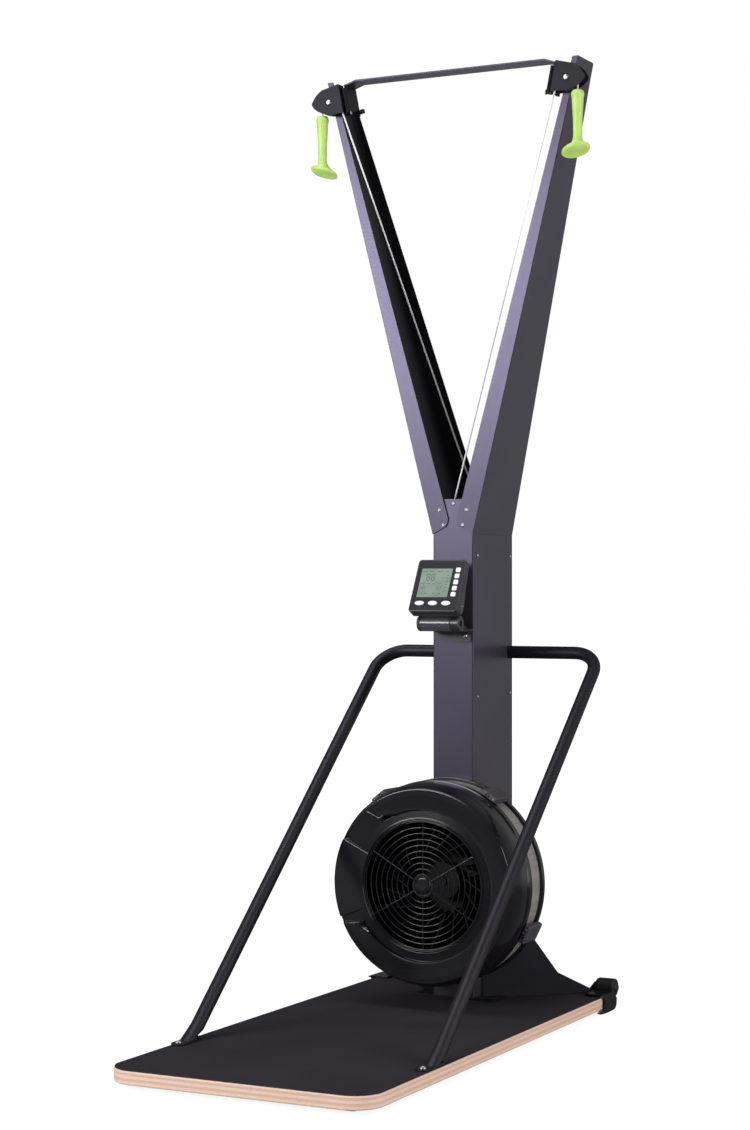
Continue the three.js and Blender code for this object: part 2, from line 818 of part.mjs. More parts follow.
// Rope from the drum up the column, through its guide eye, then into the
// housing's plane and onto the sheave's inner side
function ropeStations(side, ropeY) {
  const start = new THREE.Vector3(ropeX, ropeY, fanHeight);
  const eye = new THREE.Vector3(ropeX, ropeY, guideTop - guidePlate / 2);
  const away = new THREE.Vector2(side * sheaveX - eye.x, sheaveHeight - eye.z);
  const lean = Math.atan2(side * away.x, away.y) - Math.asin(grooveRadius / away.length());
  const touch = new THREE.Vector3(
    side * (sheaveX - grooveRadius * Math.cos(lean)), sheaveY, sheaveHeight + grooveRadius * Math.sin(lean),
  );
  const entry = new THREE.Vector3(
    touch.x - side * ropeEntryDrop * Math.sin(lean), sheaveY, touch.z - ropeEntryDrop * Math.cos(lean),
  );
  return { stations: [start, eye, entry, touch], lean };
}

function addRopeHead(sideName, side, ropeY) {
  const shaped = (geometry) => (side > 0 ? geometry : mirrored(geometry));
  const head = new THREE.Group();
  head.position.set(side * sheaveX, sheaveY, sheaveHeight);
  model.add(head);
  add(`${sideName}_pulley_housing`, shaped(housingGeometry()), steel, head);
  add(`${sideName}_sheave`, shaped(sheaveGeometry()), plastic, head);
  add(`${sideName}_sheave_bolt`, shaped(sheaveBoltGeometry()), bareSteel, head);
  add(`${sideName}_head_bracket`, shaped(headBracketGeometry()), steel, head);

  const { stations, lean } = ropeStations(side, ropeY);
  add(`${sideName}_rope_run`, tubeAlong(stations, ropeRadius, ropeSides), whiteRope);

  // The turn over the sheave, from the touching point to the outer side
  const gapAngle = 2 * seatGap / grooveRadius;
  const sweep = Math.PI - lean - gapAngle;
  const arc = [];
  for (let i = 0; i <= wrapSteps; i += 1) {
    const angle = sweep - sweep * i / wrapSteps;
    arc.push(new THREE.Vector3(grooveRadius * Math.cos(angle), 0, grooveRadius * Math.sin(angle)));
  }
  add(`${sideName}_rope_turn`, shaped(tubeAlong(arc, ropeRadius, ropeSides)), whiteRope, head);
  const leadTop = new THREE.Vector3(grooveRadius, 0, -2 * seatGap);
  const leadEnd = new THREE.Vector3(grooveRadius, 0, -handleDrop + seatGap);
  add(`${sideName}_rope_lead`, shaped(tubeAlong([leadTop, leadEnd], ropeRadius, ropeSides)), whiteRope, head);
  add(`${sideName}_handle`, shaped(handleGeometry()), greenGrip, head);
}

// Ski pole grip: a tapered shaft with a lip at the top, flared into a wide
// oval foot whose flat face looks down and forwards
function handleGeometry() {
  const foot = -handleLength + handleBaseRise + handleBaseRim * 2;
  const shaft = turned([
    [0, foot], [handleLowRadius, foot], [handleLowRadius, -handleLength / 2],
    [handleTopRadius, -handleCollarHeight * 2], [handleCollarRadius, -handleCollarHeight],
    [handleCollarRadius * handleCrownShare, 0], [0, 0],
  ], handleSides);
  const spread = handleBaseLength / 2 - handleLowRadius;
  const flare = handleFlareShares.map(([outShare, upShare]) => [
    handleLowRadius + spread * outShare, handleBaseRim + handleFlareHeight * upShare,
  ]);
  const baseHigh = handleBaseRim + handleFlareHeight;
  const outline = [
    [0, 0], [handleBaseLength / 2 - handleBaseRim / 2, 0], [handleBaseLength / 2, handleBaseRim / 2],
    ...flare, [handleLowRadius / 2, baseHigh], [0, baseHigh],
  ];
  const base = turned(outline, handleSides);
  const place = base.getAttribute("position");
  const sideSlope = Math.tan(handleSideTilt * degree);
  const frontSlope = Math.tan(handleForwardTilt * degree);
  for (let i = 0; i < place.count; i += 1) {
    const [x, y, z] = [place.getX(i), place.getY(i), place.getZ(i)];
    const away = Math.max(0, Math.hypot(x, y) - handleLowRadius) / spread;
    const depthShare = 1 + away * (handleBaseDepth / handleBaseLength - 1);
    const rise = x * sideSlope - y * frontSlope;
    place.setXYZ(i, x - handleBaseShift * away, y * depthShare, z + rise * away);
  }
  base.translate(0, 0, handleBaseRise - handleLength);
  return join(shaft, base).translate(grooveRadius, 0, -handleDrop);
}

// Nylon guide that turns both ropes from the arms down into the column
function addRopeGuide() {
  const half = halfColumn - sheetWall - seatGap;
  const front = columnFront + sheetWall + seatGap;
  const back = leftRopeY + guideRearReach;
  const low = guideTop - guideHeight;
  const shell = cut(
    block([-half, front, low], [half, back, guideTop]),
    block(
      [-half + guideWall, front + guideWall, low - overrun],
      [half - guideWall, back - guideWall, guideTop - guidePlate],
    ),
  );
  const eye = (y) => turned(
    [[0, low], [guideEyeRadius, low], [guideEyeRadius, guideTop + overrun], [0, guideTop + overrun]], 20,
  ).translate(ropeX, y, 0);
  add("rope_guide", cut(shell, eye(rightRopeY), eye(leftRopeY)), plastic);
}

// Handrail hoop: one bent tube with a welded foot plate at each end
function addHandrail() {
  const footTop = boardTop + seatGap + railFootThickness;
  const corner = (side) => new THREE.Vector3(side * railHalfWidth, railY, railHeight);
  const end = (side) => new THREE.Vector3(side * railHalfWidth, railFootY, boardTop - railRadius);
  const stations = roundedPath([end(-1), corner(-1), corner(1), end(1)], railBend, railBendSteps);
  const tube = tubeAlong(stations, railRadius, railSides);
  const trimTop = footTop - railFootThickness / 2;
  const trim = block([-boardWidth, 0, -boardWidth], [boardWidth, columnFront, trimTop]);
  const footMiddle = railFootY - railFootForward;
  const footX = railHalfWidth - railFootWidth / 2 + railRadius - seatGap;
  const footOutline = roundedRectangle(railFootWidth, railFootLength, railFootCorner);
  const foot = (side) => plate(footOutline, railFootThickness, 3)
    .translate(side * footX, footMiddle, boardTop + seatGap);
  add("handrail_hoop", join(cut(tube, trim), foot(-1), foot(1)), steel);
}

// Fan pieces are drawn with Y as the axis and placed at the fan's height
const fan = new THREE.Group();
fan.position.z = fanHeight;
model.add(fan);

function addRearCover() {
  const back = fanRearBack;
  const rimFront = back - rearCoverDepth;
  const bore = bearingOuter + seatGap;
  const seat = bandRadius + seatGap;
  const profile = [
    [bore, back], [fanRearBoss, back], [fanRearDish, back - coverWall * 2],
    [fanRearRim - coverWall, back - coverWall * 2], [fanRearRim, back - coverWall * 3],
    [fanRearRim, rimFront],
    [seat, rimFront], [seat, bandBack + seatGap], [seat - bandLedge, bandBack + seatGap],
    [seat - bandLedge, back - coverWall * 3], [fanRearDish, back - coverWall * 3],
    [fanRearBoss, back - coverWall], [bore, back - coverWall],
  ];
  add("fan_rear_cover", turnedAboutY(profile, coverSides), plastic, fan);
}

function addMeshBand() {
  const band = turnedAboutY(ring(bandRadius - bandWall, bandRadius, bandFront, bandBack), coverSides);
  const pitch = fullTurn / bandSlots;
  const slotWidth = bandRadius * pitch * bandSlotShare;
  const tool = block(
    [-slotWidth / 2, bandFront + bandSlotInset, bandRadius - bandWall - overrun],
    [slotWidth / 2, bandBack - bandSlotInset, bandRadius + overrun],
  );
  const tools = [];
  for (let i = 0; i < bandSlots; i += 1) tools.push(tool.clone().rotateY((i + 0.5) * pitch));
  add("fan_mesh_band", cut(band, ...tools), greyMesh, fan);
}

function sector(inner, outer, startDegrees, endDegrees) {
  const shape = new THREE.Shape();
  shape.absarc(0, 0, outer, startDegrees * degree, endDegrees * degree, false);
  shape.absarc(0, 0, inner, endDegrees * degree, startDegrees * degree, true);
  return shape;
}

// Front cover: a thin moulded ring, dished round the grille, with a lowered
// pocket on its left side for the damper's finger tab
function addFrontCover() {
  const front = coverFront;
  const lip = grilleRadius + seatGap;
  const curb = grilleRadius + grilleCurbHeight;
  const dishFloor = grillePlane + damperThickness;
  const shoulderY = front + crestHeight * 3;
  const outside = [
    [lip, grillePlane - grilleCurbHeight], [curb, grillePlane - grilleCurbHeight], [curb, dishFloor],
    [dishRadius - crestHeight, dishFloor], [dishRadius, front + crestHeight], [crestInner, front],
    [crestOuter, front], [crestShoulder, front + crestHeight], [crestShoulder + crestHeight * 2, shoulderY],
    [fanFlank, front + flankStart], [fanFlank, coverBack - coverWall * 4],
    [fanFrontRim, coverBack - coverWall * 3],
    [fanFrontRim, coverBack],
  ];
  const inner = fanFlank - coverWall;
  const ledge = bandRadius - bandLedge;
  const thin = [
    ...outside, [ledge, coverBack], [ledge, coverBack - coverWall], [inner, coverBack - coverWall],
    [inner, front + flankStart], [crestShoulder - coverWall, front + crestHeight + coverWall],
    [crestOuter, front + coverWall], [dishRadius + coverWall, front + crestHeight + coverWall],
    [dishRadius - crestHeight + coverWall, dishFloor + coverWall], [lip, dishFloor + coverWall],
  ];
  const thick = [
    ...outside, [inner, coverBack], [inner, front + flankStart], [crestShoulder, dishFloor + coverWall],
    [lip, dishFloor + coverWall],
  ];
  const sideWall = coverWall / dishRadius / degree;
  const under = uprightPlate(
    sector(dishRadius - crestHeight * 3, fanFlank, damperPocketStart - sideWall, damperPocketEnd + sideWall),
    dishFloor + coverWall - front, 8,
  ).translate(0, front, 0);
  const pocket = uprightPlate(
    sector(dishRadius - crestHeight * 2, fanFlank + overrun, damperPocketStart, damperPocketEnd),
    dishFloor - front + overrun, 8,
  ).translate(0, front - overrun, 0);
  const filled = shared(turnedAboutY(thick, coverSides), under);
  add("fan_front_cover", cut(join(turnedAboutY(thin, coverSides), filled), pocket), plastic, fan);
}

// Damper: a flat ring round the grille with a wide finger tab in the pocket
function addDamper() {
  const inner = (grilleRadius + grilleCurbHeight) * facetSpread + runGap;
  const discBack = grillePlane + damperThickness - runGap;
  const disc = turnedAboutY(ring(inner, inner + damperRing, grillePlane, discBack), coverSides);
  const tab = uprightPlate(
    sector(inner + damperRing / 2, damperTabOuter, damperTabStart, damperTabEnd),
    damperThickness * 2 - runGap, 10,
  ).translate(0, grillePlane - damperThickness, 0);
  add("damper_ring", join(disc, tab), plastic, fan);
}

// Grille: one flat moulding, its slots laid out as rings broken by spokes
function addGrille() {
  const outer = grilleRadius;
  const plain = new THREE.Shape();
  plain.absarc(0, 0, outer, 0, fullTurn, false);
  const centre = new THREE.Path();
  centre.absarc(0, 0, capRadius + seatGap, 0, fullTurn, true);
  plain.holes.push(centre);
  const pitch = (outer - grilleHub) / grilleRings;
  const spokePitch = fullTurn / grilleSpokes;
  for (let r = 0; r < grilleRings; r += 1) {
    const low = grilleHub + r * pitch;
    const high = low + pitch - grilleRing;
    const steps = r < grilleInnerRings ? grilleInnerSteps : grilleOuterSteps;
    for (let s = 0; s < grilleSpokes; s += 1) {
      const mid = s * spokePitch;
      const lowHalf = spokePitch / 2 - Math.asin(grilleSpokeWidth / 2 / low);
      const highHalf = spokePitch / 2 - Math.asin(grilleSpokeWidth / 2 / high);
      const slot = new THREE.Path();
      for (let k = 0; k <= steps; k += 1) {
        const angle = mid - lowHalf + 2 * lowHalf * k / steps;
        const [x, y] = [low * Math.cos(angle), low * Math.sin(angle)];
        if (k === 0) slot.moveTo(x, y);
        else slot.lineTo(x, y);
      }
      for (let k = 0; k <= steps; k += 1) {
        const angle = mid + highHalf - 2 * highHalf * k / steps;
        slot.lineTo(high * Math.cos(angle), high * Math.sin(angle));
      }
      plain.holes.push(slot);
    }
  }
  const grille = uprightPlate(plain, grilleThickness, coverSides / 2);
  add("fan_grille", grille.translate(0, grillePlane, 0), plastic, fan);
  const cap = turnedAboutY([
    [0, grillePlane - capThickness / 2], [capRadius * capCrownShare, grillePlane - capThickness / 2],
    [capRadius * capShoulderShare, grillePlane - seatGap], [capRadius, grillePlane + seatGap],
    [capRadius, grillePlane + grilleThickness], [0, grillePlane + grilleThickness],
  ], 18);
  add("fan_cap", cap, plastic, fan);
}

// Latches that hook over both rims and hold the covers together
function addClips() {
  const rim = Math.max(fanFrontRim, fanRearRim) + seatGap;
  const start = coverBack - clipOverlap;
  const end = bandBack + clipOverlap;
  const top = rim + clipThickness;
  const inset = (end - start) * clipInsetShare;
  const bandTop = bandRadius + seatGap;
  const profile = polygon([
    [start, rim], [coverBack + seatGap, rim], [coverBack + seatGap + clipCorner, bandTop],
    [fanRearBack - rearCoverDepth - seatGap - clipCorner, bandTop],
    [fanRearBack - rearCoverDepth - seatGap, rim], [end, rim],
    [end, top - clipCorner], [end - inset, top], [start + inset, top], [start, top - clipCorner],
  ]);
  clipAngles.forEach((angle, i) => {
    const clip = sidePlate(profile, clipWidth).translate(-clipWidth / 2, 0, 0).rotateY((90 - angle) * degree);
    add(`fan_clip_${i + 1}`, clip, plastic, fan);
  });
}

// Flywheel: a hub and a back disc that carry slanted radial blades
function addFlywheel() {
  const back = fanRearBack - coverWall * 4;
  const front = back - flywheelWidth;
  const hub = turnedAboutY(ring(axleRadius + seatGap, flywheelHub, back - flywheelWidth / 2, back), 20);
  const disc = turnedAboutY(ring(axleRadius + seatGap, flywheelRadius, back - flywheelDisc, back), 30);
  const bladeLength = flywheelRadius - bladeInner - bladeThickness;
  const bladeWidth = flywheelWidth - flywheelDisc;
  const pieces = [hub, disc];
  for (let i = 0; i < flywheelBlades; i += 1) {
    const blade = new THREE.BoxGeometry(bladeThickness, bladeWidth, bladeLength)
      .rotateY(bladeTilt * degree)
      .translate(0, (front + back - flywheelDisc) / 2, (flywheelRadius + bladeInner) / 2)
      .rotateY(fullTurn * i / flywheelBlades);
    pieces.push(blade);
  }
  add("flywheel", join(...pieces), bareSteel, fan);
  const axleFront = back - flywheelWidth / 2 - overrun;
  const axleBack = columnFront + columnDepth * driveRearShare + driveEar;
  const axle = turnedAboutY(ring(0, axleRadius, axleFront, axleBack), 20);
  add("flywheel_axle", axle, bareSteel, fan);
  const bearingFront = columnFront - bearingWidth / 2;
  const bearing = turnedAboutY(
    ring(axleRadius + seatGap, bearingOuter, bearingFront, bearingFront + bearingWidth), 20,
  );
  add("axle_bearing", bearing, bareSteel, fan);
}

// Inside the column: drums for both ropes, their spring case and the frame
function addDrive() {
  const half = drumWidth / 2;
  const drum = (y) => turnedAboutY([
    [axleRadius + seatGap, y - half], [drumFlange, y - half], [drumFlange, y - half + drumFlangeWidth],
    [drumCore - seatGap, y - half + drumFlangeWidth], [drumCore - seatGap, y + half - drumFlangeWidth],
    [drumFlange, y + half - drumFlangeWidth], [drumFlange, y + half], [axleRadius + seatGap, y + half],
  ], 14);
  add("right_rope_drum", drum(rightRopeY), plastic, fan);
  add("left_rope_drum", drum(leftRopeY), plastic, fan);
  const caseFront = columnFront + columnDepth * recoilFrontShare;
  const caseBack = columnFront + columnDepth * recoilBackShare;
  const springCase = turnedAboutY(ring(axleRadius + runGap, recoilRadius, caseFront, caseBack), 24);
  const frameHalf = halfColumn - sheetWall - seatGap;
  const rear = columnFront + columnDepth * driveRearShare;
  const front = columnFront + sheetWall + seatGap;
  const floorHigh = -driveEarDrop + driveFloor;
  const floorPlate = block([-frameHalf, front, -driveEarDrop], [frameHalf, rear + driveEar, floorHigh]);
  const rearEar = block([-frameHalf, rear, -driveEarDrop], [frameHalf, rear + driveEar, driveEarRise]);
  const cradle = block(
    [-recoilRadius, caseFront, -driveEarDrop],
    [recoilRadius, caseBack, -recoilRadius + overrun],
  );
  const bore = turnedAboutY(ring(0, axleRadius + runGap, rear - overrun, columnBack), 20);
  const cradleCut = turnedAboutY(ring(0, recoilRadius + seatGap, front, columnBack), 24);
  add("recoil_spring_case", springCase, plastic, fan);
  add("drive_frame", join(floorPlate, cut(rearEar, bore), cut(cradle, cradleCut)), steel, fan);
}

// Monitor bracket: a shelf bolted to the column that carries the fixed ends of
// the tilt barrel and its pin
function bracketGeometry() {
  const half = barrelLength / 2;
  const capLeft = turnedAboutX(ring(0, barrelRadius, -half, sleeveStart - runGap), barrelSides);
  const capRight = turnedAboutX([
    [0, sleeveEnd + runGap], [barrelRadius, sleeveEnd + runGap], [barrelRadius, half],
    [endHoleRadius, half], [endHoleRadius, half - endHoleDepth], [0, half - endHoleDepth],
  ], barrelSides);
  const pin = turnedAboutX(ring(0, hingePinRadius, -half + endHoleDepth, half - endHoleDepth), 14);
  const wallY = hingeAhead - seatGap;
  const shelfTop = -barrelRadius * shelfDropShare;
  const shelfLow = shelfTop - bracketPlate;
  const cheek = polygon([
    [0, shelfLow], [wallY, shelfLow], [wallY, shelfTop + bracketPlate],
    [barrelRadius, 0], [0, barrelRadius * cheekRiseShare],
  ]);
  const leftCheek = sidePlate(cheek, half + sleeveStart - runGap).translate(-half, 0, 0);
  const rightCheek = sidePlate(cheek, bracketPlate * 2).translate(sleeveEnd + runGap, 0, 0);
  const shelf = block([-half, barrelRadius + runGap, shelfLow], [half, wallY, shelfTop]);
  // The flange against the column steps down towards its right end
  const stepMiddle = (bracketStepStart + bracketStepEnd) / 2;
  const flangeShape = new THREE.Shape();
  flangeShape.moveTo(-bracketHalf, shelfTop);
  flangeShape.lineTo(-bracketHalf, -bracketEdgeDrop);
  flangeShape.lineTo(bracketStepStart, -bracketStepDrop);
  flangeShape.bezierCurveTo(
    stepMiddle, -bracketStepDrop, stepMiddle, -bracketDrop, bracketStepEnd, -bracketDrop,
  );
  flangeShape.lineTo(bracketHalf - bracketCorner, -bracketDrop);
  flangeShape.quadraticCurveTo(bracketHalf, -bracketDrop, bracketHalf, -bracketDrop + bracketCorner);
  flangeShape.lineTo(bracketHalf, shelfTop);
  const flange = uprightPlate(flangeShape, bracketPlate, 4).translate(0, wallY - bracketPlate, 0);
  return join(capLeft, capRight, pin, leftCheek, rightCheek, shelf, flange);
}

// Case: a rounded face with a wedge back, a neck and the barrel's sleeve
function caseGeometry() {
  const face = -monitorFaceAhead;
  const low = monitorRise - monitorHeight / 2;
  const high = monitorRise + monitorHeight / 2;
  const faceOutline = roundedRectangle(monitorWidth, monitorHeight, monitorCorner);
  const front = uprightPlate(faceOutline, monitorThickness, 2).translate(0, face, monitorRise);
  const side = sidePlate(polygon([
    [face - overrun, low - overrun], [face + monitorWaistThickness, low - overrun],
    [face + monitorThickness, low + monitorHeight * monitorHeelShare],
    [face + monitorWaistThickness + bracketPlate, low + monitorHeight * monitorWaistShare],
    [face + monitorWaistThickness, low + monitorHeight * monitorShoulderShare],
    [face + monitorTopThickness, high + overrun], [face - overrun, high + overrun],
  ]), monitorWidth + 2 * overrun).translate(-monitorWidth / 2 - overrun, 0, 0);
  const lcdMiddle = monitorRise + lcdCentreRise;
  const lcdPocket = block(
    [lcdCentreX - lcdWidth / 2 - seatGap, face - overrun, lcdMiddle - lcdHeight / 2 - seatGap],
    [lcdCentreX + lcdWidth / 2 + seatGap, face + lcdDepth + seatGap, lcdMiddle + lcdHeight / 2 + seatGap],
  );
  const seatDepth = keyInset + keyStroke + keyGap;
  const keySeats = keyPlaces().map(({ x, z, outline, keySteps }) => (
    uprightPlate(outline(keyGap), seatDepth + overrun, keySteps).translate(x, face - overrun, z)
  ));
  const sleeve = turnedAboutX(
    ring(hingePinRadius + runGap, sleeveRadius, sleeveStart, sleeveEnd), barrelSides,
  );
  const middle = (sleeveStart + sleeveEnd) / 2;
  const neck = block(
    [middle - neckWidth / 2, face + monitorTopThickness, -neckLow],
    [middle + neckWidth / 2, -neckBack, neckHigh],
  );
  const pinRoom = turnedAboutX(
    ring(0, hingePinRadius + runGap, sleeveStart - overrun, sleeveEnd + overrun), barrelSides,
  );
  return cut(join(cut(shared(front, side), lcdPocket, ...keySeats), neck, sleeve), pinRoom);
}

function addMonitor() {
  const bracket = new THREE.Group();
  bracket.position.set(0, columnFront - hingeAhead, hingeHeight);
  model.add(bracket);
  add("monitor_bracket", bracketGeometry(), plastic, bracket);

  const tilted = new THREE.Group();
  tilted.rotation.x = -monitorTilt * degree;
  bracket.add(tilted);
  const face = -monitorFaceAhead;
  add("monitor_case", caseGeometry(), plastic, tilted);
  const lcdMiddle = monitorRise + lcdCentreRise;
  const glass = block(
    [lcdCentreX - lcdWidth / 2, face + seatGap, lcdMiddle - lcdHeight / 2],
    [lcdCentreX + lcdWidth / 2, face + lcdDepth, lcdMiddle + lcdHeight / 2],
  );
  add("lcd_window", glass, lcdGlass, tilted);
  for (const { name, x, z, outline, keySteps } of keyPlaces()) {
    const key = uprightPlate(outline(0), keyStand + keyInset, keySteps);
    add(name, key.translate(x, face - keyStand, z), whiteKey, tilted);
  }
}

function keyPlaces() {
  const places = [];
  for (let i = 0; i < squareKeys; i += 1) {
    places.push({
      name: `square_key_${i + 1}`,
      x: squareKeyX,
      z: monitorRise + squareKeyTopRise - i * squareKeyPitch,
      keySteps: 1,
      outline: (grow) => roundedRectangle(squareKey + 2 * grow, squareKey + 2 * grow, keyCorner + grow),
    });
  }
  for (let i = 0; i < ovalKeys; i += 1) {
    places.push({
      name: `oval_key_${i + 1}`,
      x: ovalKeyShift + (i - (ovalKeys - 1) / 2) * ovalKeyPitch,
      z: monitorRise - ovalKeyDrop,
      keySteps: 6,
      outline: (grow) => {
        const shape = new THREE.Shape();
        shape.absellipse(0, 0, ovalKeyWidth / 2 + grow, ovalKeyHeight / 2 + grow, 0, fullTurn, false, 0);
        return shape;
      },
    });
  }
  return places;
}

// Side wall of the corner bracket: hooked round the board's edge in front,
// with a tail behind that guards the wheel from below
function cornerWallOutline() {
  const high = boardTop + seatGap + cornerWall;
  const rear = boardLength + cornerRearReach;
  const shape = new THREE.Shape();
  shape.moveTo(boardLength - cornerHookReach, high);
  shape.quadraticCurveTo(
    boardLength - cornerHookDepth, high - cornerWall,
    boardLength - cornerHookDepth, cornerArchHeight,
  );
  shape.quadraticCurveTo(
    boardLength - cornerHookDepth, cornerTipHeight,
    boardLength - cornerTipReach, cornerTipHeight,
  );
  shape.lineTo(boardLength - cornerHookReach, cornerTipHeight - cornerWall);
  shape.lineTo(boardLength - cornerHookDepth, cornerFloorGap);
  shape.lineTo(boardLength + seatGap + cornerWall, cornerFloorGap);
  shape.quadraticCurveTo(rear, cornerFloorGap, rear, cornerArchHeight);
  shape.lineTo(rear, cornerRearHeight);
  shape.lineTo(boardLength + seatGap + cornerWall, high);
  return shape;
}

// Transport wheel and the moulded bracket that wraps the board's rear corner
function addTransportWheels() {
  const boardSide = boardWidth / 2;
  const outerX = boardSide + seatGap + cornerWall;
  const rear = boardLength + seatGap + cornerWall;
  const low = padHeight - seatGap - cornerWall;
  const high = boardTop + seatGap + cornerWall;
  const wheelOuter = boardSide - wheelInset;
  const wheelInner = wheelOuter - wheelWidth;
  const earOuter = wheelInner - runGap;
  const sideWall = sidePlate(cornerWallOutline(), cornerWall, 3).translate(boardSide + seatGap, 0, 0);
  const topPlate = block(
    [boardSide - cornerReach, boardLength - cornerTopLength, boardTop + seatGap],
    [outerX, rear, high],
  );
  const underPlate = block(
    [boardSide - cornerReach, boardLength - cornerHookDepth, low],
    [outerX, rear, padHeight - seatGap],
  );
  const rearWall = block([earOuter - earThickness, boardLength + seatGap, low], [outerX, rear, high]);
  const earProfile = polygon([
    [boardLength + seatGap, low],
    [wheelY + wheelAxleRadius, wheelCentreHeight - wheelAxleRadius * 2],
    [wheelY + wheelAxleRadius * 2, wheelCentreHeight],
    [wheelY + wheelAxleRadius, wheelCentreHeight + wheelAxleRadius * 2],
    [boardLength + seatGap, high],
  ]);
  const ear = sidePlate(earProfile, earThickness).translate(earOuter - earThickness, 0, 0);
  const axle = turnedAboutX(ring(0, wheelAxleRadius, earOuter - earThickness, wheelOuter - hubCapHeight), 16)
    .translate(0, wheelY, wheelCentreHeight);
  const bracket = join(sideWall, topPlate, underPlate, rearWall, ear, axle);
  add("right_wheel_bracket", bracket, plastic);
  add("left_wheel_bracket", mirrored(bracket), plastic);
  const bore = wheelAxleRadius + runGap;
  const boreEnd = wheelOuter - hubCapHeight + runGap;
  const wheel = turnedAboutX([
    [bore, wheelInner], [wheelRadius - wheelShoulder, wheelInner],
    [wheelRadius - wheelShoulder / 4, wheelInner + wheelShoulder / 2],
    [wheelRadius, wheelInner + wheelShoulder], [wheelRadius, wheelOuter - wheelShoulder / 4],
    [wheelRadius - wheelShoulder / 4, wheelOuter], [hubCapRadius, wheelOuter],
    [hubCapRadius * hubCrownShare, wheelOuter + hubCapHeight * hubRiseShare],
    [hubCapRadius / 3, wheelOuter + hubCapHeight],
    [0, wheelOuter + hubCapHeight], [0, boreEnd], [bore, boreEnd],
  ], wheelSides).translate(0, wheelY, wheelCentreHeight);
  add("right_wheel", wheel, blackRubber);
  add("left_wheel", mirrored(wheel), blackRubber);
}

addBoard();
addSkirt();
addColumn();
addArms();
addCrossbar();
addRopeHead("right", 1, rightRopeY);
addRopeHead("left", -1, leftRopeY);
addRopeGuide();
addHandrail();
addRearCover();
addMeshBand();
addFrontCover();
addDamper();
addGrille();
addClips();
addFlywheel();
addDrive();
addMonitor();
addTransportWheels();

export default model;
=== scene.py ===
# %% [markdown]
# # Air resistance ski trainer
# A board carries a folded steel column that splits into two arms. Two ropes run
# from a fan at the foot, up inside the column, over a pulley on each arm head
# and down to a green pole grip. The solid model gives every place and size;
# this script gives the finishes and the finer shapes. Lengths below are in
# millimetres and become metres only when a mesh is made.

# %% Set up
import json
import math

import bmesh
import bpy
import numpy as np
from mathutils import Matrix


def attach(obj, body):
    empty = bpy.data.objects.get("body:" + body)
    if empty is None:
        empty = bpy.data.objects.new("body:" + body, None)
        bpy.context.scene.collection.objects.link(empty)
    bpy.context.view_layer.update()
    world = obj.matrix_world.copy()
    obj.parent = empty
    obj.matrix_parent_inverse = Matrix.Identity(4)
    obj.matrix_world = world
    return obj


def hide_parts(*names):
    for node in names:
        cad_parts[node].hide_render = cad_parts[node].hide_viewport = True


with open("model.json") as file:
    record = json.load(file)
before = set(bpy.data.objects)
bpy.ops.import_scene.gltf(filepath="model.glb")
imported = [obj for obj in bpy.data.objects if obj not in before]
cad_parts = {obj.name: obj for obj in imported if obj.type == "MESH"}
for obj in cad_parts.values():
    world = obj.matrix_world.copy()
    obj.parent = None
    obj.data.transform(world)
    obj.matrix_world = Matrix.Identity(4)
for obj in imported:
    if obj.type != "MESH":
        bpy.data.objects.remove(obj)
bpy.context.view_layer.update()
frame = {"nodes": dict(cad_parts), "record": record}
slot_of = {part["node"]: part["material_slot"] for part in frame["record"]["subparts"]}
bodies = frame["record"]["behaviour"]["bodies"]
body_of = {node: body for body, nodes in bodies.items() for node in nodes}
SIDES = {"right": 1, "left": -1}

# %% [markdown]
# The camera stands where the photograph was taken from: about five metres away,
# one metre up, 27 degrees to the machine's right. The long side of the frame is
# the vertical one, so the sensor is fitted vertically.

# %% Camera
camera_data = bpy.data.cameras.new("photo_camera")
camera_data.sensor_fit = "VERTICAL"
camera_data.sensor_height = 36.0
camera_data.lens = 73.98
camera = bpy.data.objects.new("photo_camera", camera_data)
camera.location = (2.2962, -4.5308, 1.0047)
camera.rotation_euler = (math.radians(90.46), 0.0, math.radians(27.07))
bpy.context.scene.collection.objects.link(camera)
bpy.context.scene.camera = camera
bpy.context.scene.view_settings.view_transform = "Standard"
print("camera looks at the column from", [round(v, 2) for v in camera.location])

# %% [markdown]
# Small helpers. One turns a hex colour into the linear numbers that the shader
# needs, and one adds a node with its settings and links, so that each material
# reads as a short list of what it is made of.

# %% Colour and node helpers
def linear(hex_colour):
    """sRGB hex to linear RGBA: c / 12.92 when dark, else ((c + 0.055) / 1.055) ** 2.4."""
    channels = np.array([int(hex_colour[i:i + 2], 16) for i in (1, 3, 5)]) / 255
    lit = np.where(channels <= 0.04045, channels / 12.92, ((channels + 0.055) / 1.055) ** 2.4)
    return (*lit, 1.0)


def add_node(tree, kind, inputs=(), **settings):
    """Adds one node. Its inputs come by name, or in their order. A node or a socket among them is
    linked, and any other value is set."""
    node = tree.nodes.new("ShaderNode" + kind)
    for name, value in settings.items():
        setattr(node, name, value)
    for name, value in inputs.items() if isinstance(inputs, dict) else enumerate(inputs):
        if isinstance(value, bpy.types.Node):
            value = value.outputs[0]
        if isinstance(value, bpy.types.NodeSocket):
            tree.links.new(value, node.inputs[name])
        else:
            node.inputs[name].default_value = value
    return node


def drive(tree, socket, node):
    """Links a node to an input of the material's shader."""
    tree.links.new(node.outputs[0], tree.nodes["Principled BSDF"].inputs[socket])


def grain(tree, cell_mm, detail=4.0, stretch=(1.0, 1.0, 1.0)):
    """Noise whose cells are cell_mm wide on the object, squeezed along an axis where asked."""
    place = add_node(tree, "TexCoord").outputs["Object"]
    mapped = add_node(tree, "Mapping", {"Vector": place, "Scale": stretch})
    cells = {"Vector": mapped, "Scale": 1000 / cell_mm, "Detail": detail}
    return add_node(tree, "TexNoise", cells)


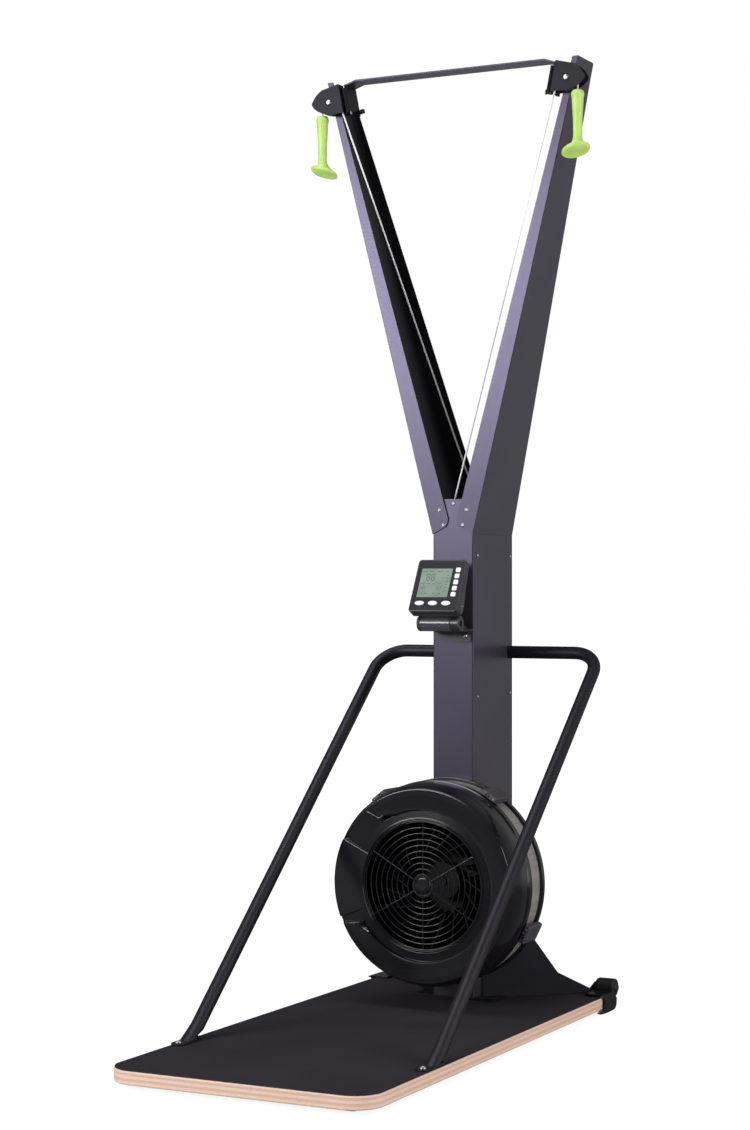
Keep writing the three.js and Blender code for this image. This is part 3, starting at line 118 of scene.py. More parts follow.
def roughen(tree, driver, low, high):
    """Lets a pattern, whose values lie mostly from 0.3 to 0.7, move the roughness."""
    drive(tree, "Roughness", add_node(tree, "MapRange", (driver, 0.3, 0.7, low, high)))


def tint(tree, driver, dark, pale):
    """Lets a pattern move the base colour between two hex colours."""
    ramp = add_node(tree, "ValToRGB", {"Fac": driver})
    for stop, place, colour in zip(ramp.color_ramp.elements, (0.3, 0.7), (dark, pale)):
        stop.position, stop.color = place, linear(colour)
    drive(tree, "Base Color", ramp)


def dent(tree, driver, depth_mm, strength):
    """Turns a pattern into a bump that is depth_mm high."""
    drive(tree, "Normal", add_node(tree, "Bump", {
        "Height": driver, "Distance": depth_mm / 1000, "Strength": strength}))


def new_material(name, base, roughness, fine=None, rough=None, bump=None, cloud=None, tints=None,
                 **sockets):
    """A finish. Its fine grain (cell mm, detail) moves the roughness between two values and makes
    a bump (depth mm, strength). Its cloud, or else its grain, moves it between two tints."""
    material = bpy.data.materials.new(name)
    material.use_nodes = True
    tree = material.node_tree
    values = {"Base_Color": linear(base), "Roughness": roughness, **sockets}
    for socket, value in values.items():
        tree.nodes["Principled BSDF"].inputs[socket.replace("_", " ")].default_value = value
    pattern = grain(tree, *fine) if fine else None
    if rough:
        roughen(tree, pattern, *rough)
    if bump:
        dent(tree, pattern, *bump)
    if tints:
        tint(tree, grain(tree, *cloud) if cloud else pattern, *tints)
    return material


# %% [markdown]
# The column and arms are folded sheet steel with a baked powder coat in
# graphite. The powder melts into a satin skin with a fine orange peel, about
# 1.5 mm from crest to crest, which blurs reflections and gives the faces that
# face the lamps a lavender sheen. The hoop has the same kind of coat in black,
# and a darker, duller copy of it paints shade onto the skirt and the pulley heads.

# %% Powder coated steel
def powder_coated(name, dark, pale, gloss, rough, sheen):
    """Satin powder coat: a peel of 1.5 mm bumps and a faint cloudiness between two colours."""
    return new_material(name, dark, rough[0], (1.5, 2), rough, (0.02, 0.3), (220, 3), (dark, pale),
                        Specular_IOR_Level=gloss, Specular_Tint=linear(sheen))


powder_coat = powder_coated("powder_coat_graphite", "#29262E", "#302D35", 0.67, (0.28, 0.38),
                            "#CFC6EE")
black_coat = powder_coated("powder_coat_black", "#121115", "#171619", 0.4, (0.42, 0.54), "#DAD4EC")
# A darker copy of the black coat: painted shade on the skirt and the pulley heads.
shaded_black_coat = powder_coated("powder_coat_black_painted_shade", "#0C0B0D", "#100F12", 0.28, (0.4, 0.52), "#DAD4EC")
print("three powder coats")

# %% [markdown]
# The fan covers and the monitor are moulded ABS. A spark-eroded mould leaves a
# fine matt grain on the monitor; the fan's covers are smoother and show long
# reflections of the lamps, and the barrel's sleeve is polished. The latches and
# the sheaves are nylon, which is duller and greyer.

# %% Moulded plastics
moulded_black = new_material("moulded_abs_black", "#131116", 0.16, (0.9, 3), (0.13, 0.2),
                             (0.01, 0.1), tints=("#0F0D12", "#141217"))
monitor_black = new_material("moulded_abs_charcoal", "#25242A", 0.3, (0.7, 3), (0.26, 0.38),
                             (0.02, 0.3))
sleeve_black = new_material("polished_abs_charcoal", "#3A3944", 0.2, (6, 2), (0.16, 0.24))
nylon_black = new_material("moulded_nylon_black", "#3A373F", 0.5, (2.5, 3), (0.42, 0.6))
print("four moulded plastics")

# %% [markdown]
# The board is birch plywood with a rounded edge. Its plies are about 1.5 mm
# thick and lie flat, so the edge shows stripes along the board, light for plies
# cut along the grain and browner for plies cut across it. They are drawn 5.4 mm
# thick, because thinner ones would vanish at this distance. The heights are
# counted in half stripes, wavered a little and folded back every second one.

# %% Birch plywood
HALF_STRIPE = 2.7
birch_plywood = new_material("birch_plywood", "#E6C8B2", 0.55)
tree = birch_plywood.node_tree
place = add_node(tree, "TexCoord").outputs["Object"]
height = add_node(tree, "SeparateXYZ", [place]).outputs["Z"]
waver = add_node(tree, "Math", (grain(tree, 60, 3), 0.5), operation="MULTIPLY")
stack = add_node(tree, "Math", (height, 1000 / HALF_STRIPE, waver), operation="MULTIPLY_ADD")
stripe = add_node(tree, "Math", (stack, 2.0), operation="PINGPONG")
plies = add_node(tree, "MapRange", (stripe, 0.75, 1.25))
fibre = grain(tree, 7, 6, (1.0, 1.0, 9.0))
blend = add_node(tree, "Math", (plies, 0.36, fibre), operation="MULTIPLY_ADD")
tint(tree, add_node(tree, "Math", (blend, 0.72), operation="MULTIPLY"), "#BC9A87", "#D3B8A8")
dent(tree, fibre, 0.1, 0.4)
print("plywood with plies", 2 * HALF_STRIPE, "thick")

# %% [markdown]
# A rubber mat covers the board. Its top is calendered with a fine pimple that
# keeps shoes from slipping, so it looks evenly matt and a little dusty. The foot
# strips and wheels are plain moulded rubber, scuffed in use.

# %% Rubber
PIMPLE = 2.2
mat_rubber = new_material("calendered_rubber_mat", "#242327", 0.72, cloud=(160, 5),
                          tints=("#1B171F", "#231E28"), Specular_IOR_Level=0.3)
tree = mat_rubber.node_tree
place = add_node(tree, "TexCoord").outputs["Object"]
dent(tree, add_node(tree, "TexVoronoi", {"Vector": place, "Scale": 1000 / PIMPLE}), 0.25, 0.5)
tyre_rubber = new_material("moulded_rubber", "#19191A", 0.62, (5, 5), (0.5, 0.75), (0.05, 0.4),
                           Specular_IOR_Level=0.35)
print("mat with pimples every", PIMPLE)

# %% [markdown]
# The grips are moulded in soft lime green elastomer. It scatters light just
# under its surface, which lifts the shadows, and its skin is smooth and satin.

# %% Green elastomer grip
grip_green = new_material("lime_elastomer", "#A8CA66", 0.45, (1.2, 2), bump=(0.03, 0.3),
                          cloud=(40, 2), tints=("#A1C262", "#ACCB6E"), Subsurface_Weight=0.12,
                          Subsurface_Scale=0.004)
print("grip scatters light within 4 mm")

# %% [markdown]
# The rope is braided white polyester, 4 mm thick. Sixteen strands cross in a
# herringbone, so the mesh carries its own map: u goes once round the rope and v
# counts millimetres along it. Two waves that run opposite ways make the strands.

# %% Braided polyester rope
STRANDS_EACH_WAY, LAY = 8, 3.0
braided_rope = new_material("braided_polyester", "#E6E5E4", 0.8, Sheen_Weight=0.2)
tree = braided_rope.node_tree
lay = add_node(tree, "SeparateXYZ", [add_node(tree, "UVMap", uv_map="braid")]).outputs
around = add_node(tree, "Math", (lay["X"], STRANDS_EACH_WAY * math.tau), operation="MULTIPLY")
along = add_node(tree, "Math", (lay["Y"], math.tau / LAY), operation="MULTIPLY")
waves = []
for way in ("ADD", "SUBTRACT"):
    lean = add_node(tree, "Math", (around, along), operation=way)
    waves.append(add_node(tree, "Math", [lean], operation="SINE"))
dent(tree, add_node(tree, "Math", waves, operation="MAXIMUM"), 0.25, 0.6)
print("rope of", 2 * STRANDS_EACH_WAY, "strands")

# %% [markdown]
# Bolts and screws are zinc plated steel, and the axle is bare oiled steel. The
# flywheel is a casting with a dull black paint, so the fan looks black inside.
# The band between the fan's covers is a grey perforated sheet whose holes are
# about 2.4 mm wide and 4 mm apart.

# %% Metals
HOLE_PITCH = 4.0
zinc_steel = new_material("zinc_plated_steel", "#A9A9AE", 0.4, (1.5, 4), (0.34, 0.5), Metallic=1.0)
bearing_steel = new_material("oiled_bearing_steel", "#29282B", 0.42, (1, 3), (0.36, 0.5),
                             Metallic=1.0)
cast_aluminium = new_material("cast_aluminium_black", "#0B0B0D", 0.6, (0.8, 4), (0.55, 0.7),
                              (0.05, 0.5), Specular_IOR_Level=0.25)
perforated_grey = new_material("perforated_grey_sheet", "#7E7A76", 0.5)
tree = perforated_grey.node_tree
place = add_node(tree, "TexCoord").outputs["Object"]
cells = {"Vector": place, "Scale": 1000 / HOLE_PITCH, "Randomness": 0.15}
edge = add_node(tree, "MapRange", (add_node(tree, "TexVoronoi", cells), 0.26, 0.36, 0.3, 0.7))
tint(tree, edge, "#4F4C4B", "#777370")
dent(tree, edge, 0.4, 0.5)
print("metals, and a sheet with holes every", HOLE_PITCH)

# %% [markdown]
# The display is a twisted liquid crystal behind clear plastic: a grey green
# field with darker bars and dashes. The keys are pale moulded caps.

# %% Display and keys
display_green = new_material("liquid_crystal_field", "#9DB0A2", 0.18, cloud=(30, 2),
                             tints=("#6F8075", "#7E8E82"), Coat_Weight=0.6)
segment_dark = new_material("liquid_crystal_segment", "#4C5A50", 0.25)
key_pale = new_material("moulded_key_white", "#D9DADF", 0.4, (0.8, 2), (0.35, 0.5))

material_of = {
    "frame_steel": powder_coat, "black_moulding": moulded_black, "drive_nylon": nylon_black,
    "grey_mesh": perforated_grey, "flywheel_metal": cast_aluminium, "bright_steel": zinc_steel,
    "plywood": birch_plywood, "black_mat": mat_rubber, "black_rubber": tyre_rubber,
    "green_grip": grip_green, "white_rope": braided_rope, "display_window": display_green,
    "pale_key": key_pale,
}
bare_steel = ("flywheel_axle", "axle_bearing")
for node, solid in frame["nodes"].items():
    solid.data.materials.clear()
    finish = bearing_steel if node in bare_steel else material_of[slot_of[node]]
    solid.data.materials.append(finish)
print(len(material_of), "finishes for", len(slot_of), "nodes")

# %% [markdown]
# Every new shape is a grid of points: a profile turned about an axis, carried
# along a path or stretched between two ends. A shape is a pair, its points in
# millimetres and its faces, and all the arithmetic is on whole numpy arrays.

# %% Grids of points
def rounded(points, radius, steps=4, closed=True):
    """Rounds each corner: between the two points that lie radius before and after it runs a
    quadratic curve (1-t)^2 A + 2t(1-t) P + t^2 C, with the corner P as its control point. One
    more point on each side of the curve keeps the shading of the straight part flat."""
    points = np.asarray(points, float)
    back = np.roll(points, 1, 0) - points
    ahead = np.roll(points, -1, 0) - points
    back_length = np.linalg.norm(back, axis=1, keepdims=True)
    ahead_length = np.linalg.norm(ahead, axis=1, keepdims=True)
    reach = np.minimum(np.broadcast_to(np.reshape(radius, (-1, 1)), back_length.shape),
                       np.minimum(back_length, ahead_length) * 0.48)
    if not closed:
        reach[[0, -1]] = 0
    start = points + back / np.maximum(back_length, 1e-9) * reach
    end = points + ahead / np.maximum(ahead_length, 1e-9) * reach
    t = np.linspace(0, 1, steps + 1)[:, None, None]
    curve = (1 - t) ** 2 * start + 2 * t * (1 - t) * points + t ** 2 * end
    before, after = points + (start - points) * 1.03, points + (end - points) * 1.03
    curve = np.concatenate([before[None], curve, after[None]]).transpose(1, 0, 2)
    if closed:
        return curve.reshape(-1, points.shape[1])
    inner = curve[1:-1].reshape(-1, points.shape[1])
    return np.vstack([points[:1], inner, points[-1:]])


def rounded_box(width, height, radius, steps=8):
    """Outline of a rectangle with round corners, anticlockwise."""
    x, y = width / 2 - radius, height / 2 - radius
    middle = np.array([[x, -y], [x, y], [-x, y], [-x, -y]])
    quarter = np.linspace(0, math.pi / 2, steps + 1)
    angle = quarter + np.array([[-1], [0], [1], [2]]) * math.pi / 2
    arc = radius * np.stack([np.cos(angle), np.sin(angle)], -1)
    return (middle[:, None] + arc).reshape(-1, 2)


def circle(radius, sides):
    """Points of a circle: radius times (cos a, sin a)."""
    angle = math.tau * np.arange(sides) / sides
    return radius * np.stack([np.cos(angle), np.sin(angle)], -1)


def grid_faces(rows, columns, wrap_rows=False, wrap_columns=True):
    """Quads between neighbouring points of a rows by columns grid."""
    row = np.arange(rows if wrap_rows else rows - 1)[:, None]
    column = np.arange(columns if wrap_columns else columns - 1)[None, :]
    next_row = (row + 1) % rows
    next_column = (column + 1) % columns
    corners = [row * columns + column, row * columns + next_column,
               next_row * columns + next_column, next_row * columns + column]
    return np.stack(np.broadcast_arrays(*corners), -1).reshape(-1, 4)


def capped_faces(rows, columns):
    """Quads round every row, and one face over each end."""
    first = np.arange(columns)
    return [*grid_faces(rows, columns), first[::-1], first + (rows - 1) * columns]


def joined(*shapes):
    """Several shapes as one: the faces of each count on from the points before it."""
    starts = np.cumsum([0] + [len(points) for points, _ in shapes])
    faces = [face + start for (_, part), start in zip(shapes, starts) for face in part]
    return np.vstack([points for points, _ in shapes]), faces


def turned(profile, sides, centre=(0, 0, 0), axis="Y", closed=True):
    """A profile of (radius, height) round an axis: (r cos a, r sin a, h) for each angle a."""
    radius, height = np.asarray(profile, float).T
    angle = math.tau * np.arange(sides)[:, None] / sides
    across, up = radius * np.cos(angle), radius * np.sin(angle)
    along = np.broadcast_to(height, across.shape)
    order = {"Z": (across, up, along), "Y": (across, along, up), "X": (along, across, up)}[axis]
    points = np.stack(order, -1).reshape(-1, 3) + np.asarray(centre, float)
    return points, grid_faces(sides, len(radius), wrap_rows=True, wrap_columns=closed)


def swept(path, section):
    """A flat section carried along a path: at each station its two axes lie square to the
    tangent. The first is the cross product of the tangent and the world axis that the path
    leans on least."""
    path = np.asarray(path, float)
    tangent = np.gradient(path, axis=0)
    tangent /= np.linalg.norm(tangent, axis=1, keepdims=True)
    guide = np.eye(3)[np.argmin(np.abs(tangent).max(axis=0))]
    side = np.cross(guide, tangent)
    side /= np.linalg.norm(side, axis=1, keepdims=True)
    other = np.cross(tangent, side)
    points = path[:, None] + side[:, None] * section[:, :1] + other[:, None] * section[:, 1:]
    return points.reshape(-1, 3), capped_faces(len(path), len(section))


def slab(outline, low, high, edge, steps=3, axis="Z"):
    """A flat outline with rounded rims: rings are drawn in by edge (1 - sin a) where they rise by
    edge (1 - cos a). A ring on each side of a rim keeps the flat parts evenly shaded."""
    outline = np.asarray(outline, float)
    turn = np.linspace(0, math.pi / 2, steps + 1)
    margin = edge * 1.1
    rim, rise = edge * (1 - np.sin(turn)), edge * (1 - np.cos(turn))
    draw_in = np.concatenate([[margin], rim, [0, 0], rim[::-1], [margin]])
    height = np.concatenate([[low], low + rise, [low + margin, high - margin],
                             high - rise[::-1], [high]])
    along = np.roll(outline, -1, 0) - np.roll(outline, 1, 0)
    outward = np.stack([along[:, 1], -along[:, 0]], -1)
    outward /= np.linalg.norm(along, axis=1, keepdims=True)
    rings = outline - outward * draw_in[:, None, None]
    level = np.broadcast_to(height[:, None, None], (*rings.shape[:2], 1))
    points = np.concatenate([rings, level], -1).reshape(-1, 3)
    order = {"X": [2, 0, 1], "Y": [0, 2, 1], "Z": [0, 1, 2]}[axis]
    return points[:, order], capped_faces(len(rings), len(outline))


print("shape helpers ready")

# %% [markdown]
# A shape becomes an object whose doubled points are merged and whose faces look
# outwards. Then it is seated: it rides with the body of its host, which is the
# first node that it replaces unless another is named.

# %% From shape to piece
def smooth_object(name, mesh, material, sharp):
    """Gives a mesh its material and soft shading up to an angle, and puts it in the scene."""
    mesh.shade_smooth()
    mesh.set_sharp_from_angle(angle=math.radians(sharp))
    mesh.materials.clear()
    mesh.materials.append(material)
    piece = bpy.data.objects.new(name, mesh)
    bpy.context.scene.collection.objects.link(piece)
    return piece


def make_object(name, shape, material, sharp=35, uv=None):
    """Puts millimetre points and faces into a mesh in metres, with its faces turned outwards."""
    points, faces = shape
    mesh = bpy.data.meshes.new(name)
    mesh.from_pydata((np.asarray(points, float) / 1000).tolist(), [], [tuple(f) for f in faces])
    if uv is not None:
        corner = np.zeros(len(mesh.loops), np.int32)
        mesh.loops.foreach_get("vertex_index", corner)
        layer = mesh.uv_layers.new(name="braid")
        layer.data.foreach_set("uv", np.asarray(uv, np.float32)[corner].ravel())
    clean = bmesh.new()
    clean.from_mesh(mesh)
    bmesh.ops.remove_doubles(clean, verts=clean.verts, dist=2e-6)
    bmesh.ops.recalc_face_normals(clean, faces=clean.faces)
    clean.to_mesh(mesh)
    clean.free()
    return smooth_object(name, mesh, material, sharp)


def seat(piece, *nodes, host=None, slot=None):
    """Rides the piece on its host's body, and hides the nodes that it replaces."""
    host = host or nodes[0]
    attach(piece, body_of[host])
    if nodes:
        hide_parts(*nodes)
    return piece


def add_piece(name, shape, material, *nodes, at=None, host=None, slot=None, **how):
    """A new shape, seated. Where it has its own frame, at moves its points into the scene's."""
    points, faces = shape
    shape = (at(points) if at else points, faces)
    return seat(make_object(name, shape, material, **how), *nodes, host=host, slot=slot)


def softened(node, bevel, material=None, segments=2):
    """A merged copy of a CAD node whose edges get a small radius, as real ones have."""
    mesh = frame["nodes"][node].data.copy()
    work = bmesh.new()
    work.from_mesh(mesh)
    bmesh.ops.remove_doubles(work, verts=work.verts, dist=2e-5)
    bmesh.ops.dissolve_limit(work, angle_limit=math.radians(1), verts=work.verts, edges=work.edges)
    work.to_mesh(mesh)
    work.free()
    piece = smooth_object(f"{node}_finish", mesh, material or material_of[slot_of[node]], 35)
    edge = piece.modifiers.new("edge", "BEVEL")
    edge.width, edge.segments = bevel / 1000, segments
    edge.limit_method, edge.angle_limit = "ANGLE", math.radians(35)
    edge.harden_normals = True
    return seat(piece, node)


print("piece helpers ready")

# %% [markdown]
# The floor is plain and white. It keeps a faint shadow under the board: most of
# what the camera sees of it glows white, the more the farther out, and the rest
# is matt and takes shadow. Mirrored in the machine it is dim, as if flags stood
# round the set, but there it glows in a pool in front on the left and a band far
# behind, which paint reflections of light onto the machine.

# %% Floor
WHITE = (1, 1, 1, 1)
floor_white = new_material("studio_floor", "#F4F4F4", 0.9)
tree = floor_white.node_tree
rays = add_node(tree, "LightPath").outputs
here = add_node(tree, "TexCoord").outputs["Object"]
glow = add_node(tree, "Emission", (WHITE, 1.12))
way_back = add_node(tree, "SeparateXYZ", [here]).outputs["Y"]
# Seen only in reflections, the floor glows in a band far behind and a pool in front on the left:
# painted reflections of light.
behind = add_node(tree, "MapRange", (way_back, 2.0, 5.0, 0.1, 0.36))
to_pool = add_node(tree, "VectorMath", (here, (-1.9, -1.7, 0.0)), operation="DISTANCE")
pool = add_node(tree, "MapRange", (to_pool.outputs["Value"], 0.4, 1.7, 0.6, 0.1))
shine = add_node(tree, "Math", (behind, pool), operation="MAXIMUM")
mirrored_glow = add_node(tree, "Emission", (WHITE, shine))
spot = add_node(tree, "VectorMath", [here], operation="LENGTH").outputs["Value"]
far = add_node(tree, "MapRange", (spot, 1.2, 4.0, 0.8, 1.0))
share = add_node(tree, "Math", (rays["Is Camera Ray"], far), operation="MULTIPLY")
mix = add_node(tree, "MixShader", (share, tree.nodes["Principled BSDF"], glow))
mirrored = add_node(tree, "MixShader", (rays["Is Glossy Ray"], mix, mirrored_glow))
tree.links.new(mirrored.outputs[0], tree.nodes["Material Output"].inputs["Surface"])

FLOOR_REACH, FLOOR_DROP = 30000.0, 0.5
floor_points = rounded_box(2 * FLOOR_REACH, 2 * FLOOR_REACH, 0, 0)
floor_points = np.column_stack([floor_points, np.full(4, -FLOOR_DROP)])
floor = make_object("studio_floor", (floor_points, [(0, 1, 2, 3)]), floor_white)
print("floor", 2 * FLOOR_REACH / 1000, "m wide")

# %% [markdown]
# The world is white for the camera and dim for reflections, as in a studio with
# black flags round the set, so the black plastic stays black. Only towards the
# rear right do mirrored rays find more light. Four soft boxes light the machine:
# in front on the left, above, on the right, and a weak low one for the board.

# %% World and lamps
world = bpy.data.worlds.new("studio")
bpy.context.scene.world = world
world.use_nodes = True
tree = world.node_tree
tree.nodes.clear()
rays = add_node(tree, "LightPath").outputs
seen = add_node(tree, "Math", (rays["Is Camera Ray"], rays["Is Transmission Ray"]),
                operation="MAXIMUM")
heading = add_node(tree, "SeparateXYZ", [add_node(tree, "TexCoord").outputs["Generated"]])
to_rear = add_node(tree, "MapRange", (heading.outputs["Y"], 0.2, 0.7, 0.0, 0.3))
to_right = add_node(tree, "MapRange", (heading.outputs["X"], -0.1, 0.25))
mirrored = add_node(tree, "Math", (to_rear, to_right, 0.09), operation="MULTIPLY_ADD")
plain = add_node(tree, "MapRange", (rays["Is Glossy Ray"], 0.0, 1.0, 0.32, mirrored))
strength = add_node(tree, "Mix", {0: seen, 2: plain, 3: 1.0})
add_node(tree, "OutputWorld", [add_node(tree, "Background", (WHITE, strength))])

# Name, place, aim, width, height, watts
SOFT_BOXES = [
    ("front_left_box", (-2.7, -4.5, 2.25), (0, 0.3, 1.6), 2.7, 1.45, 238),
    ("top_box", (-0.8, -0.5, 4.8), (-0.4, 0.2, 1.0), 3.6, 1.2, 85),
    ("right_box", (4.6, -0.5, 2.5), (0, 0.2, 1.2), 1.4, 2.4, 115),
    ("low_right_box", (2.7, 0.0, 0.45), (0.3, 0, 0.03), 2.2, 0.6, 13),
]
for name, place, aim, width, height, watts in SOFT_BOXES:
    lamp = bpy.data.lights.new(name, "AREA")
    lamp.shape = "RECTANGLE"
    lamp.size, lamp.size_y, lamp.energy = width, height, watts
    x, y, z = np.subtract(aim, place) / math.dist(aim, place)
    box = bpy.data.objects.new(name, lamp)
    box.location = place
    box.rotation_euler = (math.acos(-z), 0.0, math.atan2(x, -y) + math.pi)
    bpy.context.scene.collection.objects.link(box)
print("world and", len(SOFT_BOXES), "lamps")

# %% [markdown]
# The board is routed from 28 mm birch plywood with its rims rounded over, and
# the mat is cut 1.5 mm smaller all round. Both are one flat outline with round
# corners, stacked in rings that draw in at the rims.

# %% Board and mat
BOARD_WIDTH, BOARD_LENGTH, BOARD_CORNER, MAT_INSET = 600, 1240, 62, 1.5
BOARD_MIDDLE, BOARD_LOW, BOARD_TOP, MAT_TOP = [0, -28.5], 10, 38, 40
board = rounded_box(BOARD_WIDTH, BOARD_LENGTH, BOARD_CORNER, 14) + BOARD_MIDDLE
add_piece("plywood_board", slab(board, BOARD_LOW, BOARD_TOP, 3.2, 5), birch_plywood, "base_board")
mat = rounded_box(BOARD_WIDTH - 2 * MAT_INSET, BOARD_LENGTH - 2 * MAT_INSET,
                  BOARD_CORNER - MAT_INSET, 14) + BOARD_MIDDLE
add_piece("rubber_mat", slab(mat, BOARD_TOP + 0.02, MAT_TOP, 0.9), mat_rubber, "board_mat")
for strip in ("front_foot_strip", "rear_foot_strip"):
    softened(strip, 1.5, tyre_rubber)
print("board", BOARD_WIDTH, "x", BOARD_LENGTH)

# %% [markdown]
# The column is a press-braked channel: 3 mm sheet folded at four corners, with
# an outside bend radius a little over the sheet's own thickness. Half of its
# outline is drawn and mirrored, each corner is rounded by its own radius, and
# the outline is raised as a prism. The front of it runs on upwards as a tongue.

# %% Column
FOLD, INSIDE, RIM = 4.2, 1.4, 0.7
COLUMN_HALF, COLUMN_FRONT, COLUMN_BACK, COLUMN_LIP, SHEET = 52.0, 361.5, 586.5, 34.0, 3.0
COLUMN_FOOT, ARM_LOW, ARM_HIGH, TONGUE_TOP = 46.6, 1120.0, 2199.0, 1201.0
inside, inner_back = COLUMN_HALF - SHEET, COLUMN_BACK - SHEET
half = np.array([
    [COLUMN_HALF, COLUMN_FRONT], [COLUMN_HALF, COLUMN_BACK], [COLUMN_LIP, COLUMN_BACK],
    [COLUMN_LIP, inner_back], [inside, inner_back], [inside, COLUMN_FRONT + SHEET]])
half_radii = [FOLD, FOLD, RIM, RIM, INSIDE, INSIDE]
outline = rounded(np.vstack([half, (half * [-1, 1])[::-1]]), half_radii + half_radii[::-1], 5)
add_piece("column_sheet", slab(outline, COLUMN_FOOT, ARM_LOW - 0.3, 0.4, 2), powder_coat,
          "column_channel")
tongue = rounded([[-48.7, TONGUE_TOP], [48.7, TONGUE_TOP], [48.7, 1100], [-48.7, 1100]],
                 [5, 5, 0.1, 0.1], 5)
add_piece("column_tongue", slab(tongue, COLUMN_FRONT + 0.1, COLUMN_FRONT + SHEET - 0.1, 0.5, 2,
                                axis="Y"), powder_coat, host="column_channel")
softened("column_rear_cover", 0.6)
print("column", 2 * COLUMN_HALF, "wide")

# %% [markdown]
# The arms are the same kind of channel, but its section shrinks on the way up,
# so each point of the low outline is joined to the same point of the high one.
# The low edge of the front flange is cut to a round tongue, and the web's rear
# top corner is clipped. The faces inside the channel take the black coat, as
# painted shade.

# %% Arms
HEAD_OUT, HEAD_LIP, HEAD_FRONT, HEAD_BACK = 321.4, 306.9, 342.5, 437.5
FOOT_FRONT, FOOT_LIP = 358.2, 1.0
FRONT_POINTS, ROWS, CLIP = 14, 40, 4.2
CUT_TURN_X, CUT_RISE, CUT_ROUND_X, CUT_ROUND_Z = 20.94, 16, 9.2, 24


def channel(outer_x, front, back, lip_x):
    """C outline: lip, front fold, rear fold, lip, and back along the inside."""
    step = np.linspace(0, 1, FRONT_POINTS + 2)[1:-1, None]
    wall = outer_x - SHEET
    tip, fold = np.array([lip_x, front]), np.array([outer_x, front])
    tip_in, fold_in = np.array([lip_x, front + SHEET]), np.array([wall, front + SHEET])
    points = np.vstack([
        tip, tip + (fold - tip) * step, fold, [outer_x, back], [lip_x, back],
        [lip_x, back - SHEET], [wall, back - SHEET], fold_in,
        fold_in + (tip_in - fold_in) * step, tip_in])
    flat = [0.01] * FRONT_POINTS
    return rounded(points, [RIM, *flat, FOLD, FOLD, RIM, RIM, INSIDE, INSIDE, *flat, RIM], 5)


def cut_height(x):
    """Low edge of the front flange: a slope up from the fold, then a round corner up the lip."""
    slope = (COLUMN_HALF - x) * CUT_RISE / (COLUMN_HALF - CUT_TURN_X)
    round_share = np.clip((CUT_TURN_X - x) / CUT_ROUND_X, 0, 1)
    corner = CUT_RISE + CUT_ROUND_Z * (1 - np.sqrt(1 - round_share ** 2))
    return ARM_LOW + np.where(x > CUT_TURN_X, slope, corner)


def arm_shell():
    """Each point of the foot's outline runs straight to the head's: foot + (head - foot) share.
    It starts at the share where the cut edge meets it. A ribbon of quads closes each end."""
    foot = channel(COLUMN_HALF, FOOT_FRONT, COLUMN_BACK, FOOT_LIP)
    head = channel(HEAD_OUT, HEAD_FRONT, HEAD_BACK, HEAD_LIP)
    travel = np.linspace(0, 0.06, 500)[:, None]
    x = foot[:, 0] + (head[:, 0] - foot[:, 0]) * travel
    z = ARM_LOW + (ARM_HIGH - ARM_LOW) * travel
    kept = (z >= cut_height(x)) | (foot[:, 1] > COLUMN_FRONT + 1)
    start = travel[np.argmax(kept, axis=0), 0]
    share = start + (1 - start) * np.linspace(0, 1, ROWS)[:, None]
    flat = foot + (head - foot) * share[..., None]
    level = ARM_LOW + (ARM_HIGH - ARM_LOW) * share
    points = np.concatenate([flat, level[..., None]], -1).reshape(-1, 3)
    over = points[:, 1] + points[:, 2] - (HEAD_BACK + ARM_HIGH - CLIP)
    points[:, 2] -= np.where(points[:, 0] > HEAD_OUT - 3.4, np.maximum(over, 0), 0)
    count = len(foot)
    i = np.arange(count // 2 - 1)
    ribbon = np.stack([i, i + 1, count - 2 - i, count - 1 - i], -1)
    return points, np.vstack([grid_faces(ROWS, count), ribbon, ribbon + (ROWS - 1) * count])


points, faces = arm_shell()
for name, side in SIDES.items():
    arm = add_piece(f"{name}_arm_sheet", (points * [side, 1, 1], faces), powder_coat,
                    f"{name}_arm", sharp=30)
    arm.data.materials.append(black_coat)
    middle = np.array([face.center for face in arm.data.polygons]) * 1000
    normal = np.array([face.normal for face in arm.data.polygons])
    share = (middle[:, 2] - ARM_LOW) / (ARM_HIGH - ARM_LOW)
    web_x = COLUMN_HALF - 2 + (HEAD_OUT - COLUMN_HALF) * share
    # Faces inside the channel, on the web and the rear flange, get the black coat: painted shade.
    within = (np.abs(middle[:, 0]) < web_x) & (normal[:, 0] * side < -0.5)
    shaded_rear_wall = (normal[:, 1] < -0.5) & (middle[:, 1] > 400)
    arm.data.polygons.foreach_set("material_index", (within | shaded_rear_wall).astype(np.int32))
print("two arms folded, heads", 2 * HEAD_OUT, "apart")

# %% [markdown]
# The handrail is one 30 mm steel tube, bent twice on a 66 mm radius, with a
# foot plate welded to each end. A circle is carried along straight runs and
# round two arcs; where it lands on its plate a weld bead fills the corner.

# %% Handrail
RAIL_Y, RAIL_HEIGHT, RAIL_HALF, RAIL_BEND, RAIL_RADIUS = 568.2, 841.0, 285.5, 66.0, 15.0
RAIL_FOOT = np.array([RAIL_HALF, -353.5, 25.0])
PLATE_LOW, PLATE_TOP, RAIL_SLOPE = 40.3, 44.3, 0.655


